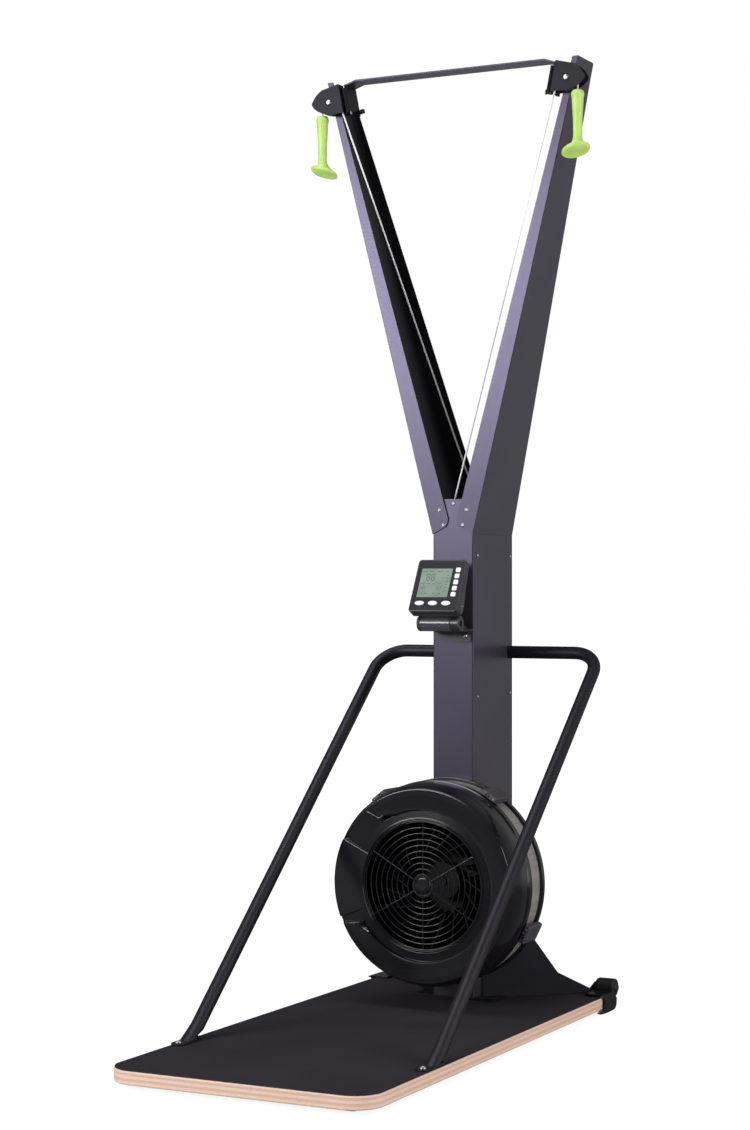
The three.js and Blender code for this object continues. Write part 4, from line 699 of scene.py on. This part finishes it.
def rail_path():
    """Right foot, straight run, arc, top run, arc, straight run, left foot. An arc is its centre
    plus the radius times (cos a, sin a) in the plane of its two runs."""
    corner = np.array([RAIL_HALF, RAIL_Y, RAIL_HEIGHT])
    up = (corner - RAIL_FOOT) / np.linalg.norm(corner - RAIL_FOOT)
    across = np.array([-1.0, 0.0, 0.0])
    centre = corner + RAIL_BEND * (across - up)
    angle = np.linspace(0, math.pi / 2, 25)[:, None]
    arc = centre - RAIL_BEND * across * np.cos(angle) + RAIL_BEND * up * np.sin(angle)
    run = RAIL_FOOT + (arc[0] - RAIL_FOOT) * np.linspace(0, 1, 20)[:-1, None]
    right = np.vstack([run, arc])
    top = np.linspace(right[-1], right[-1] * [-1, 1, 1], 12)[1:-1]
    return np.vstack([right, top, (right * [-1, 1, 1])[::-1]])


rail_points, rail_faces = swept(rail_path(), circle(RAIL_RADIUS, 40))
rail_points[:, 2] = np.maximum(rail_points[:, 2], PLATE_TOP - 1.8)
add_piece("handrail_tube", (rail_points, rail_faces), black_coat, "handrail_hoop", sharp=50)
for name, side in SIDES.items():
    outline = rounded_box(32, 72, 15.5, 10) + [side * (RAIL_HALF - 1.3), -364]
    add_piece(f"{name}_rail_foot", slab(outline, PLATE_LOW, PLATE_TOP, 0.8), black_coat,
              host="handrail_hoop")
    angle = np.linspace(0, math.tau, 49)
    ring = RAIL_RADIUS * np.stack([np.cos(angle), np.sin(angle) / RAIL_SLOPE, 0 * angle], -1)
    ring += [side * RAIL_HALF, -331.6, PLATE_TOP + 0.1]
    add_piece(f"{name}_rail_weld", swept(ring, circle(2.2, 8)), black_coat, host="handrail_hoop")
print("handrail", len(rail_points), "points")

# %% [markdown]
# The fan is a drum between two moulded covers. The front cover is turned from
# one profile, but its left side is lowered to a pocket for the damper's tab, so
# the profile is a blend of two: full, and lowered, with a short steep step
# between them where the pocket's walls stand. Each row below is a point's
# radius and its depth, which is its Y in the shared frame.

# %% Front cover
FAN, CREST, POCKET = np.array([0, 0, 321.0]), 189.2, 204.2
POCKET_FIRST, POCKET_LAST = 127.0, 205.0
STEP_WIDTH, CREST_FADE, LEAN_FADE = 0.7, 16, 14
full_side = np.array([
    [146.3, 196.2], [149, 196.2], [149, POCKET], [172.2, POCKET], [172.4, 189.5], [177, CREST],
    [193, CREST], [206, CREST], [220, 189.9], [226, 203.2], [232, 227.2], [232, 258],
    [230.6, 259.2], [230.6, 263], [234, 266.2], [234, 282.2], [224, 282.2], [224, 279.2],
    [229, 279.2], [229, 225.2], [222, POCKET], [215, 196.2], [204, 192.2], [193.5, 192.2],
    [183.5, 192.2], [181.5, 196.2], [176, 207.2], [146.3, 207.2]])
edge_side = full_side.copy()
edge_side[4:6] = [[175.5, 203], [181, 190]]
low_side = full_side.copy()
low_side[4:9, 1] = POCKET
low_side[9] = [227, 205.2]
low_side[20:27, 1] = np.maximum(low_side[20:27, 1], 207.2)
radii = np.full(len(full_side), 1.0)
radii[[4, 5, 7, 8, 9, 10]] = [0.6, 2, 1, 2.4, 9, 12]
full_side, edge_side, low_side = (rounded(side, radii, 6)
                                  for side in (full_side, edge_side, low_side))


def smooth(value):
    """Smooth step 3 t^2 - 2 t^3, held between 0 and 1."""
    value = np.clip(value, 0, 1)
    return value * value * (3 - 2 * value)


def on_fan(radius, degrees, depth):
    """Points (r cos a, y, r sin a) at a radius, an angle and a depth round the fan's axis."""
    turn = np.radians(degrees)
    spread = np.broadcast_arrays(radius * np.cos(turn), depth, radius * np.sin(turn))
    return (np.stack(spread, -1) + FAN).reshape(-1, 3)


def cover_shell():
    """Points (r cos a, y, r sin a), with (r, y) from the profile. That steps down in the pocket,
    and the crest's inner wall fades out beside it. The pocket's walls lean: near them a = base +
    lean, and the lean grows with r."""
    near = np.arange(-1.2, 1.21, 0.06)
    base = [np.arange(0, 360, 1.25), POCKET_FIRST + near, POCKET_LAST + near]
    base = np.unique(np.round(np.concatenate(base), 3))[:, None]
    radius = full_side[:, 0]
    before, after = POCKET_FIRST - base, base - POCKET_LAST
    inside = np.minimum(smooth(0.5 - before / (2 * STEP_WIDTH)),
                        smooth(0.5 - after / (2 * STEP_WIDTH)))[..., None]
    beside = 1 - smooth(np.maximum(before, after) / CREST_FADE)[..., None]
    profile = full_side * (1 - beside) + edge_side * beside
    profile = profile * (1 - inside) + low_side * inside
    lean = 0.15 * (radius - 195) * smooth(1 - np.abs(before) / LEAN_FADE)
    lean += (3 - 0.13 * (radius - 200)) * smooth(1 - np.abs(after) / LEAN_FADE)
    points = on_fan(profile[..., 0], base + lean, profile[..., 1])
    return points, grid_faces(len(base), len(full_side), wrap_rows=True)


add_piece("front_cover", cover_shell(), moulded_black, "fan_front_cover", sharp=60)
bead_radius = np.concatenate([np.linspace(213, 186, 12), [184, 182.6, 182, 182]])
bead_turn = np.concatenate([np.linspace(130.3, 126.4, 12), [125.9, 125.2, 124, 121]])
bead = swept(on_fan(bead_radius, bead_turn, CREST), circle(1, 24) * [2.4, 0.9])
add_piece("pocket_bead", bead, moulded_black, host="fan_front_cover", sharp=50)
print("front cover with its pocket from", POCKET_FIRST, "to", POCKET_LAST, "degrees")

# %% [markdown]
# The rear cover and the perforated band are turned from their own profiles.

# %% Rear cover and band
rear_profile = rounded([
    [21.3, 361.2], [120, 361.2], [205, 355.2], [232, 355.2], [235, 352.2], [235, 338.2],
    [228.3, 338.2], [228.3, 338.8], [224.3, 338.8], [224.3, 352.2], [205, 352.2], [120, 358.2],
    [21.3, 358.2]], 1.2, 4)
add_piece("rear_cover", turned(rear_profile, 180, FAN), moulded_black, "fan_rear_cover", sharp=40)
band_profile = rounded([[226, 282.5], [228, 282.5], [228, 338.5], [226, 338.5]], 0.4, 3)
add_piece("perforated_band", turned(band_profile, 180, FAN), perforated_grey, "fan_mesh_band")
print("fan covers 468 across")

# %% [markdown]
# The grille is one flat moulding of nine rings and six spokes, each bar about
# 2.6 mm wide with a rounded face. The rings are turned; a spoke is a bar along
# a radius. The cap in the middle is a plain dome.

# %% Grille and cap
GRILLE, RINGS, SPOKES, GRILLE_HUB, GRILLE_RIM = 199.2, 9, 6, 26, 146
BAR_HALF, BAR_DEPTH, SPOKE_SHARE = 1.3, 3, 1.15
ring_pitch = (GRILLE_RIM - GRILLE_HUB) / RINGS
bar = rounded([[-BAR_HALF, 0], [BAR_HALF, 0], [BAR_HALF, BAR_DEPTH], [-BAR_HALF, BAR_DEPTH]], 1.0)
hub = rounded([[20.3, 0], [26.5, 0], [26.5, BAR_DEPTH], [20.3, BAR_DEPTH]], 0.6, 3)


def spoke(degrees):
    """The bar's section along a radius: point = out r + across u, at depth v."""
    angle = math.radians(degrees)
    out = np.array([math.cos(angle), 0, math.sin(angle)])
    across = np.array([-math.sin(angle), 0, math.cos(angle)]) * SPOKE_SHARE
    radius = np.linspace(21, 145, 12)[:, None, None]
    points = FAN + radius * out + bar[:, :1] * across + (bar[:, 1:] + GRILLE) * [0, 1, 0]
    return points.reshape(-1, 3), grid_faces(12, len(bar))


rings = [turned(bar + [GRILLE_HUB + (index + 1) * ring_pitch - BAR_HALF, GRILLE], 144, FAN)
         for index in range(RINGS)]
spokes = [spoke(30 + 360 / SPOKES * index) for index in range(SPOKES)]
add_piece("grille_rings", joined(*rings, *spokes, turned(hub + [0, GRILLE], 96, FAN)),
          moulded_black, "fan_grille")
dome = rounded([[0, 202.2], [20, 202.2], [20, 199.4], [18, 197.0], [10, 196.2], [0, 196.2]],
               1.5, 5, closed=False)
add_piece("cap_dome", turned(dome, 72, FAN, closed=False), moulded_black, "fan_cap", sharp=50)
print("grille of", RINGS, "rings and", SPOKES, "spokes")

# %% [markdown]
# The damper is a ring with a rolled lip, behind the grille's rim, with a finger
# tab that lies in the pocket. The tab is a plate with round corners whose long
# middle line is bent round the fan's axis, and a bead stands on its upper edge.

# %% Damper
TAB_MIDDLE, TAB_SWEEP, TAB_RADIUS, TAB_BEND = 177.8, 47.6, 187.5, 190
TAB_FRONT, TAB_BACK, TAB_DEEP = 194.4, 203.8, 73


def finer(outline, step=4.0):
    """Cuts each edge of a closed outline into equal pieces no longer than step."""
    ahead = np.roll(outline, -1, 0) - outline
    pieces = np.ceil(np.linalg.norm(ahead, axis=1) / step).astype(int)
    edge = np.repeat(np.arange(len(outline)), pieces)
    first = np.repeat(np.cumsum(pieces) - pieces, pieces)
    return outline[edge] + ahead[edge] * ((np.arange(len(edge)) - first) / pieces[edge])[:, None]


def damper_tab():
    """The plate's point (u, v) goes to radius v and angle = middle - u / bend."""
    flat = finer(rounded_box(math.radians(TAB_SWEEP) * TAB_BEND, TAB_DEEP, 3, 5))
    turn, radius = math.radians(TAB_MIDDLE) - flat[:, 0] / TAB_BEND, flat[:, 1] + TAB_RADIUS
    bent = np.stack([radius * np.cos(turn), radius * np.sin(turn)], -1)
    points, faces = slab(bent, TAB_FRONT, TAB_BACK, 1.0, 4, axis="Y")
    return points + FAN, faces


lip = rounded([[150, TAB_BACK], [150, 196], [151.2, 194.5], [154, 195.7], [171.6, 197.6],
               [171.6, TAB_BACK]], [0.4, 0.6, 0.8, 0.6, 0.8, 0.4])
edge_bead = swept(on_fan(np.linspace(151.5, 221, 20), 154.7, TAB_FRONT),
                  circle(1, 24) * [2.8, 0.9])
add_piece("damper_tab", joined(turned(lip, 180, FAN), damper_tab(), edge_bead), moulded_black,
          "damper_ring")
print("damper tab sweeps", TAB_SWEEP, "degrees")

# %% [markdown]
# Four latches clip the covers together. Each is a pillow on the rim with four
# ribs, and a screw and a socket in its nose. The socket is a shallow dish whose
# black moulding paints the shade of a deeper hole.

# %% Latches
LATCH_WIDTH, LATCH_LENGTH, LATCH_MIDDLE, LATCH_LOW, LATCH_HIGH = 44, 76.3, 310.35, 235.3, 247.6
LATCH_EDGE, UNDERSIDE_SHARE = 3.4, 0.12
LATCHES = [(57, 1), (128, -1), (206, 1), (334, -1)]  # angle, and the side that its screw is on


def latch(index, degrees, turn):
    """Drawn with t along the rim, y along the axis and r outwards, and then (t, r) is turned by
    the angle a: x = r cos a - t sin a, z = r sin a + t cos a."""
    def placed(points):
        t, y, r = points.T
        c, s = math.cos(math.radians(degrees)), math.sin(math.radians(degrees))
        return np.stack([r * c - t * s, y, r * s + t * c], -1) + FAN

    def detail(part, shape, finish, slot=None):
        add_piece(f"latch_{index}_detail_{part}", shape, finish, at=placed,
                  host=f"fan_clip_{index}", slot=slot, sharp=50)

    outline = rounded_box(LATCH_WIDTH, LATCH_LENGTH, 5) + [0, LATCH_MIDDLE]
    points, faces = slab(outline, LATCH_LOW, LATCH_HIGH, LATCH_EDGE, 6)
    above = points[:, 2] - LATCH_LOW
    points[:, 2] = LATCH_LOW + np.where(above < LATCH_EDGE, above * UNDERSIDE_SHARE, above)
    add_piece(f"latch_{index}", (points, faces), nylon_black, f"fan_clip_{index}", at=placed,
              sharp=60)
    for rib in range(4):
        bar = rounded_box(33, 5.6, 2.4, 5) + [0, 300 + 11 * rib]
        detail(rib + 1, slab(bar, 246.4, 248.2, 0.8), nylon_black)
    socket = rounded([[0, 0.4], [2.8, 0.2], [3.4, -1.8], [4.6, -1.8], [5.2, -0.6], [5.2, 3],
                      [0, 3]], 0.5, 3, closed=False)
    # The shallow socket is in black moulding, a painted shade for a deeper hole.
    detail(5, turned(socket, 40, (5 * turn, 272.2, 240.6), closed=False), moulded_black)
    screw = rounded([[0, -1.2], [1.6, -1.2], [2.7, -0.5], [2.7, 3], [0, 3]], 0.4, 3, closed=False)
    detail(6, turned(screw, 32, (-12.5 * turn, 272.4, 240.4), closed=False), zinc_steel,
           "bright_steel")


for index, (degrees, turn) in enumerate(LATCHES):
    latch(index + 1, degrees, turn)
print(len(LATCHES), "latches")

# %% [markdown]
# Each handle is a pole grip: a shaft that swells towards its lip, then flares
# into a wide oval foot. One profile is turned round the rope, and the points
# beyond the shaft are squeezed front to back and tilted, more the farther out
# they are, so that the foot leans but the shaft stays round.

# %% Handles
GROOVE, HANDLE_DROP = 23.5, 28.4
HEAD_X, HEAD_Y, HEAD_Z = 303.0, 326.5, 2145.0
SHAFT, FOOT_SPREAD, FOOT_DEPTH_SHARE, FOOT_SHIFT = 10.3, 23.7, 46 / 68, 5
TILT_OUT, TILT_FORWARD = 14, 18
handle_profile = rounded([
    [0, 0], [12.4, 0], [15.5, -9], [13.5, -18], [12.2, -45], [SHAFT, -74.5], [SHAFT, -104],
    [11.2, -112], [15, -120], [24, -127], [32.1, -131], [34, -134.6], [31.5, -138], [0, -138]],
    [0, 4, 4, 8, 12, 12, 9, 7, 6, 6, 1.6, 2.4, 2, 0], 6, closed=False)


def handle_shell():
    """Turned profile; away = (r - shaft) / spread, then y is squeezed and z tilted with away."""
    points, faces = turned(handle_profile, 64, axis="Z", closed=False)
    x, y, z = points.T
    away = np.where(z < -100, np.clip(np.hypot(x, y) - SHAFT, 0, None) / FOOT_SPREAD, 0)
    tilt = x * math.tan(math.radians(TILT_OUT)) - y * math.tan(math.radians(TILT_FORWARD))
    points = np.stack([x - FOOT_SHIFT * away, y * (1 + away * (FOOT_DEPTH_SHARE - 1)),
                       z + tilt * away], -1)
    return points + [GROOVE, 0, -HANDLE_DROP], faces


for name, side in SIDES.items():
    add_piece(f"{name}_grip", handle_shell(), grip_green, f"{name}_handle", sharp=60,
              at=lambda points: (points + [HEAD_X, HEAD_Y, HEAD_Z]) * [side, 1, 1])
print("handles 149 long")

# %% [markdown]
# The rope runs straight from its drum to the guide's eye, turns there, and
# rises to its own pulley. Its path repeats the solid model's: the touching
# point on the groove is where a line from the eye is square to the groove's
# radius. The mesh counts the millimetres along it for the braid.

# %% Ropes
EYE_X, EYE_Z, ENTRY, ROPE_END = -15, 1185.0, 36, 0.6
ROPE_RADIUS, ROPE_SIDES = 2, 14


def rope(name, path, node):
    """A circle carried along the path, with a map of turns and millimetres."""
    length = np.linalg.norm(np.diff(path, axis=0), axis=1)
    length = np.concatenate([[0], np.cumsum(length)])[:, None]
    uv = np.stack(np.broadcast_arrays(np.arange(ROPE_SIDES) / ROPE_SIDES, length), -1)
    add_piece(name, swept(path, circle(ROPE_RADIUS, ROPE_SIDES)), braided_rope, node, sharp=80,
              uv=uv.reshape(-1, 2))


for (name, side), rope_y in zip(SIDES.items(), (393.5, 541.5)):
    eye = np.array([EYE_X, rope_y, EYE_Z])
    head = np.array([side * HEAD_X, HEAD_Y, HEAD_Z])
    away_x, away_z = side * head[0] - side * EYE_X, HEAD_Z - EYE_Z
    reach = math.hypot(side * HEAD_X - EYE_X, away_z)
    lean = math.atan2(away_x, away_z) - math.asin(GROOVE / reach)
    touch = head + GROOVE * np.array([-side * math.cos(lean), 0, math.sin(lean)])
    entry = touch - ENTRY * np.array([side * math.sin(lean), 0, math.cos(lean)])
    run = [np.linspace([EYE_X, rope_y, FAN[2]], eye, 60), np.linspace(eye, entry, 80)[1:],
           np.linspace(entry, touch, 5)[1:]]
    rope(f"{name}_braid_run", np.vstack(run), f"{name}_rope_run")
    turn = np.linspace(math.pi - lean - ROPE_END / GROOVE, 0, 40)[:, None]
    arc = head + GROOVE * np.concatenate([side * np.cos(turn), 0 * turn, np.sin(turn)], 1)
    rope(f"{name}_braid_turn", arc, f"{name}_rope_turn")
    down = np.linspace(ROPE_END, HANDLE_DROP - 0.3, 8)[:, None]
    rope(f"{name}_braid_lead", head + [side * GROOVE, 0, 0] - down * [0, 0, 1],
         f"{name}_rope_lead")
print("ropes braided")

# %% [markdown]
# The pulley heads are folded sheet with a nylon sheave between two cheeks. Their
# shapes are right in the solid model, so they are copied and their sharp edges
# get a small radius. The sheave is turned again with a true round groove.

# %% Pulley heads
across = np.linspace(-1, 1, 11)
dip = np.stack([20.9 + 4.5 * across ** 2, across * 3.2], -1)
flank = np.array([[4.4, 6], [27, 6], [28, 5], [28, 4]])
sheave = np.vstack([flank * [1, -1], dip, flank[::-1]])
bolt = rounded([[0, -16.8], [4.2, -16.8], [6.5, -15], [6.5, -13.3], [4, -13.3], [4, 13.3],
                [6.5, 13.3], [6.5, 15.3], [0, 15.3]], 0.5, 3, closed=False)
for name, side in SIDES.items():
    head = (side * HEAD_X, HEAD_Y, HEAD_Z)
    # The housing and bracket take the darker copy of the black coat, painted shade.
    softened(f"{name}_pulley_housing", 0.5, shaded_black_coat)
    softened(f"{name}_head_bracket", 0.5, shaded_black_coat)
    add_piece(f"{name}_sheave_turned", turned(sheave, 96, head), nylon_black, f"{name}_sheave",
              sharp=40)
    add_piece(f"{name}_bolt_turned", turned(bolt, 48, head, closed=False), zinc_steel,
              f"{name}_sheave_bolt")
softened("crossbar", 0.6)
softened("rope_guide", 1.0)
# The skirt takes the darker copy of the black coat, painted shade.
softened("base_skirt", 0.6, shaded_black_coat)
print("heads, crossbar, guide and skirt softened")

# %% [markdown]
# Transport wheels: a rubber roller with round shoulders and a domed cap, in a
# moulded bracket that hooks round the board's rear corner.

# %% Transport wheels
WHEEL = (0, 627.5, 49)
tread = rounded([[5.4, 249.5], [12, 249.5], [18.75, 254], [21, 258.5], [21, 297.25],
                 [18.75, 299.5], [12, 299.5], [9.6, 303.4], [4, 306], [0, 306], [0, 293.4],
                 [5.4, 293.4]], [0.5, 2, 5, 5, 2, 1.5, 0.8, 2.5, 2, 0, 0.4, 0.4], 5)
points, faces = turned(tread, 72, WHEEL, "X")
for name, side in SIDES.items():
    add_piece(f"{name}_roller", (points * [side, 1, 1], faces), tyre_rubber, f"{name}_wheel",
              sharp=40)
    softened(f"{name}_wheel_bracket", 1.4, segments=3)
print("wheels 42 across")

# %% [markdown]
# The monitor is a moulded box whose back swells over the batteries. Each level
# of it is a rounded rectangle seen from above: its width follows the face's
# round corners and its depth follows the back. A fine seam runs up each side.

# %% Monitor case
HINGE, TILT, FACE, RISE = np.array([0, 290.5, 913.0]), math.radians(27.4), -53.0, 71.5
CASE_WIDTH, CASE_HEIGHT, CASE_CORNER, CASE_RIM, SEAM = 122.0, 135.0, 8.0, 2.6, 0.7
DEPTH_AT = [[0, 0.04, 0.12, 0.3, 0.42, 0.5, 1], [26, 30, 37.4, 35, 30, 26.4, 18]]


def on_monitor(points):
    """Turns points from the case's own frame about the hinge by the monitor's tilt."""
    x, y, z = np.asarray(points, float).T
    c, s = math.cos(TILT), math.sin(TILT)
    return np.stack([x, y * c + z * s, z * c - y * s], -1) + HINGE


def case_shell():
    """Half width = w/2 - c + sqrt(c^2 - d^2) near the ends; the rims draw in by the same rule; the
    depth is interpolated between a few levels."""
    end = np.sin(np.linspace(0, math.pi / 2, 9))
    level = np.concatenate([CASE_HEIGHT / 2 - CASE_CORNER + CASE_CORNER * end,
                            [0, 10, 20, 30, 40, 50]])
    level = np.unique(np.round(level, 4))
    level = np.concatenate([-level[::-1], level[1:]])
    past = np.clip(np.abs(level) - (CASE_HEIGHT / 2 - CASE_CORNER), 0, CASE_CORNER)
    half = (CASE_WIDTH / 2 - CASE_CORNER + np.sqrt(CASE_CORNER ** 2 - past ** 2))[:, None]
    near_end = np.clip((np.abs(level) - (CASE_HEIGHT / 2 - CASE_RIM)) / CASE_RIM, 0, 1)
    drawn = CASE_RIM * (1 - np.sqrt(1 - near_end ** 2))
    depth = np.interp(level / CASE_HEIGHT + 0.5, *DEPTH_AT)
    front = (FACE + drawn)[:, None] + CASE_RIM
    rear = (FACE + depth - drawn)[:, None] - CASE_RIM
    quarter = np.linspace(0, math.pi / 2, 6)
    dip, along = SEAM * np.array([0, 1, 1, 0]), np.array([0, 0.3, 0.7, 1.0])
    ring_x, ring_y = [], []
    for index, (side, middle) in enumerate([(-1, front), (1, front), (1, rear), (-1, rear)]):
        angle = quarter + index * math.pi / 2 - math.pi
        ring_x.append(side * (half - CASE_RIM) + CASE_RIM * np.cos(angle))
        ring_y.append(middle + CASE_RIM * np.sin(angle))
        if index in (1, 3):
            ring_x.append(side * (half - dip))
            seam = FACE + (11 + along if index == 1 else 12 - along)
            ring_y.append(np.broadcast_to(seam, (len(level), 4)))
    x, y = np.hstack(ring_x), np.hstack(ring_y)
    height = np.broadcast_to((RISE + level)[:, None], x.shape)
    return np.stack([x, y, height], -1).reshape(-1, 3), capped_faces(*x.shape)


def add_to_monitor(name, shape, material, *nodes, host="monitor_case"):
    """A moulding that is drawn in the case's own frame and tilts with it."""
    add_piece(name, shape, material, *nodes, at=on_monitor, host=nodes[0] if nodes else host,
              sharp=40)


add_to_monitor("monitor_shell", case_shell(), monitor_black, "monitor_case")
neck = rounded([[-30, 13], [-17.4, 4.4], [-9, 6], [-14, 30], [-33, 30]], 2)
add_to_monitor("monitor_neck", slab(neck, -36.5, 28, 1.5, axis="X"), monitor_black)
sleeve = rounded([[6.4, -45], [17.5, -45], [18, -44], [18, 31], [17.5, 32], [6.4, 32]], 0.4, 2)
add_to_monitor("monitor_sleeve", turned(sleeve, 96, axis="X"), sleeve_black)
print("monitor case", CASE_WIDTH, "x", CASE_HEIGHT)

# %% [markdown]
# The display window is a clear panel in a thin black frame. The liquid crystal
# under it shows plain bars, blocks and dashes, all laid out by rule. The keys
# are pale caps with round rims, raised 2 mm.

# %% Display and keys
LCD = np.array([-8.0, RISE + 6.3])
KEY_RAISE, KEY_DEEP, KEY_EDGE = 2, 1.6, 1.0
SQUARE_KEY, SQUARE_PITCH, OVAL_KEY, OVAL_PITCH = 11.5, 15.7, (11.5, 5.5), 33.5


def on_face(outline, front, back, edge, steps=3):
    """A flat moulding in the face's own x and z, from front to back of the face."""
    return slab(outline, FACE - front, FACE + back, edge, steps, axis="Y")


add_to_monitor("window_frame", on_face(rounded_box(81, 77, 3) + LCD, 0.35, 1, 0.3), moulded_black)
add_to_monitor("window_panel", on_face(rounded_box(78, 74, 1.6) + LCD, 0.5, 2, 0.2),
               display_green, "lcd_window")
# Each bar: its middle on the display, its width and its height
bars = [(-31, 29, 13, 1.6), (-12, 29, 9, 1.6), (8, 29, 13, 1.6), (27, 29, 9, 1.6)]
bars += [(x, z, 1.7, 6.4) for z in (18.5, 10.5) for x in (-23, -15.5, -11, -3.5)]
bars += [(x, z, 6.0, 1.7) for z in (22.4, 14.5, 6.6) for x in (-19.2, -7.2)]
bars += [(x, -2, 10, 0.9) for x in (-31, -17, -3, 11)]
bars += [(x, z, 4.6, 1.1) for z in (-9.4, -15.4) for x in (-30, -24)] + [(-27, -12.4, 7.0, 1.1)]
bars += [(x, z, 1.2, 4.6) for z in (-10.6, -16.4) for x in (8, 12.6, 17.2)]
bars += [(30, z, 5.0, 1.5) for z in (20, 12, 4, -4, -12, -20)]
bars += [(x, -27, 6, 1.6) for x in (-30, -18, 2, 18)]
segments = [on_face(rounded_box(width, height, 0.4, 2) + LCD + [x, z], 0.6, -0.3, 0.05, 1)
            for x, z, width, height in bars]
add_piece("display_segments", joined(*segments), segment_dark, at=on_monitor, host="lcd_window")
for index in range(5):
    key = rounded_box(SQUARE_KEY, SQUARE_KEY, 2.4) + [45, RISE + 39.5 - SQUARE_PITCH * index]
    add_to_monitor(f"square_cap_{index + 1}", on_face(key, KEY_RAISE, KEY_DEEP, KEY_EDGE),
                   key_pale, f"square_key_{index + 1}")
for index in range(3):
    key = circle(1, 40) * OVAL_KEY + [OVAL_PITCH * (index - 1) - 2, RISE - 46]
    add_to_monitor(f"oval_cap_{index + 1}", on_face(key, KEY_RAISE, KEY_DEEP, KEY_EDGE),
                   key_pale, f"oval_key_{index + 1}")
print("display with", len(bars), "segments, 8 keys")

# %% [markdown]
# The bracket holds the fixed ends of the tilt barrel: a ribbed knob on the left
# and a collar with a socket on the right, on a shelf with two cheeks. Its flange
# steps down to a bolt on the column. The knob's ribs are a cosine on its radius.

# %% Monitor bracket
RIBS, RIB_SHARE, RIB_FROM = 28, 0.012, 15
SHELF_LOW, SHELF_TOP, WALL_Y, FLANGE_FRONT = -17.9, -13.9, 70.6, 66.7


def add_to_bracket(name, shape, *nodes):
    """A moulding of the bracket, drawn about the barrel's axis."""
    add_piece(name, shape, monitor_black, *nodes, at=lambda points: points + HINGE,
              host="monitor_bracket", sharp=40)


flange = rounded([
    [-46, SHELF_TOP], [-46, -25], [-22, -29], [-12, -31], [-6, -35.5], [0, -40], [10, -42],
    [34, -42], [46, -42], [46, -30], [46, SHELF_TOP]], [0.5, 3, 6, 5, 5, 5, 6, 6, 12, 6, 0.5], 5)
add_to_bracket("bracket_flange", slab(flange[::-1], FLANGE_FRONT, WALL_Y, 1.0, axis="Y"),
               "monitor_bracket")
low_edge = [[0, SHELF_LOW], [WALL_Y, SHELF_LOW]]
shelf = rounded([*low_edge, [WALL_Y, SHELF_TOP], [0, SHELF_TOP]], 1.0, 2)
add_to_bracket("bracket_shelf", slab(shelf, -53.4, 53.4, 1.0, 2, axis="X"))
cheek = rounded([*low_edge, [WALL_Y, SHELF_TOP + 4], [18.5, 0], [0, 9.2]], 1.5, 3)
add_to_bracket("bracket_left_cheek", slab(cheek, -53.3, -45.6, 1.0, 2, axis="X"))
add_to_bracket("bracket_right_cheek", slab(cheek, 32.6, 40.4, 1.0, 2, axis="X"))
knob = rounded([[0, -53.5], [10, -53.5], [16.5, -52.5], [18.3, -50], [18.3, -46.4],
                [17.4, -45.4], [0, -45.4]], 0.8, 3, closed=False)
points, faces = turned(knob, 8 * RIBS, axis="X", closed=False)
spread = 1 + RIB_SHARE * np.cos(RIBS * np.arctan2(points[:, 2], points[:, 1]))
spread = np.where(np.hypot(points[:, 1], points[:, 2]) > RIB_FROM, spread, 1)
points[:, 1:] *= spread[:, None]
add_to_bracket("bracket_knob", (points, faces))
collar = rounded([[0, 32.5], [17, 32.5], [17.6, 33.5], [17.6, 40.4], [18.4, 41], [18.4, 51.5],
                  [15.5, 53.5], [8.5, 53.5], [6.4, 52.6], [6, 46.5], [0, 46.5]], 0.7, 3,
                 closed=False)
add_to_bracket("bracket_collar", turned(collar, 96, axis="X", closed=False))
print("bracket with a knob of", RIBS, "ribs")

# %% [markdown]
# Small hardware. A button head is a low dome with a socket in it. It is turned
# about the direction that it faces, and one helper places all of them.

# %% Screws and bolts
def button_head(name, place, facing, radius, height, host="column_channel"):
    """Dome with a conical socket, its flat underside on the place, turned about a world axis."""
    profile = rounded(np.array([
        [0, height * 0.35], [radius * 0.42, height * 0.35], [radius * 0.5, height],
        [radius * 0.75, height * 0.85], [radius, height * 0.3], [radius, -0.4], [0, -0.4]]),
        radius * 0.12, 3, closed=False)
    sign = 1 if facing[0] == "+" else -1
    shape = turned(profile * [1, sign], 28, place, facing[1], closed=False)
    add_piece(name, shape, zinc_steel, host=host, slot="bright_steel", sharp=50)


tongue_places = [(0, 361.6, 1191), (35, 358.2, 1176), (-35, 358.2, 1176), (25, 358.2, 1141),
                 (-25, 358.2, 1141)]
for number, place in enumerate(tongue_places):
    button_head(f"tongue_screw_{number + 1}", place, "-Y", 4.6, 2.6)
for number, (y, z) in enumerate([(384.5, 1070), (571, 1070), (385, 742.5), (571, 743)]):
    for side, facing in ((1, "+X"), (-1, "-X")):
        button_head(f"side_screw_{number + 1}_{side == 1}", (side * COLUMN_HALF, y, z), facing,
                    4.2, 2.4)
for name, side in SIDES.items():
    button_head(f"{name}_foot_bolt", (side * 284.2, -385.5, PLATE_TOP), "+Z", 7.0, 4.6)
    button_head(f"{name}_plate_bolt", (side * 90.5, 541, 46.3), "+Z", 5.2, 3.6)
button_head("bracket_bolt", HINGE + [32.8, FLANGE_FRONT, -30], "-Y", 5.6, 3.6, "monitor_bracket")
for name, place, facing, radius, height in [
        ("case_side_screw", [60.4, -29.0, 29.5], "+X", 2.6, 1.6),
        ("neck_screw", [-33.7, -31.0, 18.0], "-Y", 2.4, 1.4)]:
    button_head(name, on_monitor([place])[0], facing, radius, height, "monitor_case")
for name, side in SIDES.items():
    button_head(f"{name}_hinge_screw", (side * 249.7, 326.0, 2117.3), "-X" if side == 1 else "+X",
                4.4, 2.6)
print("screws and bolts set")
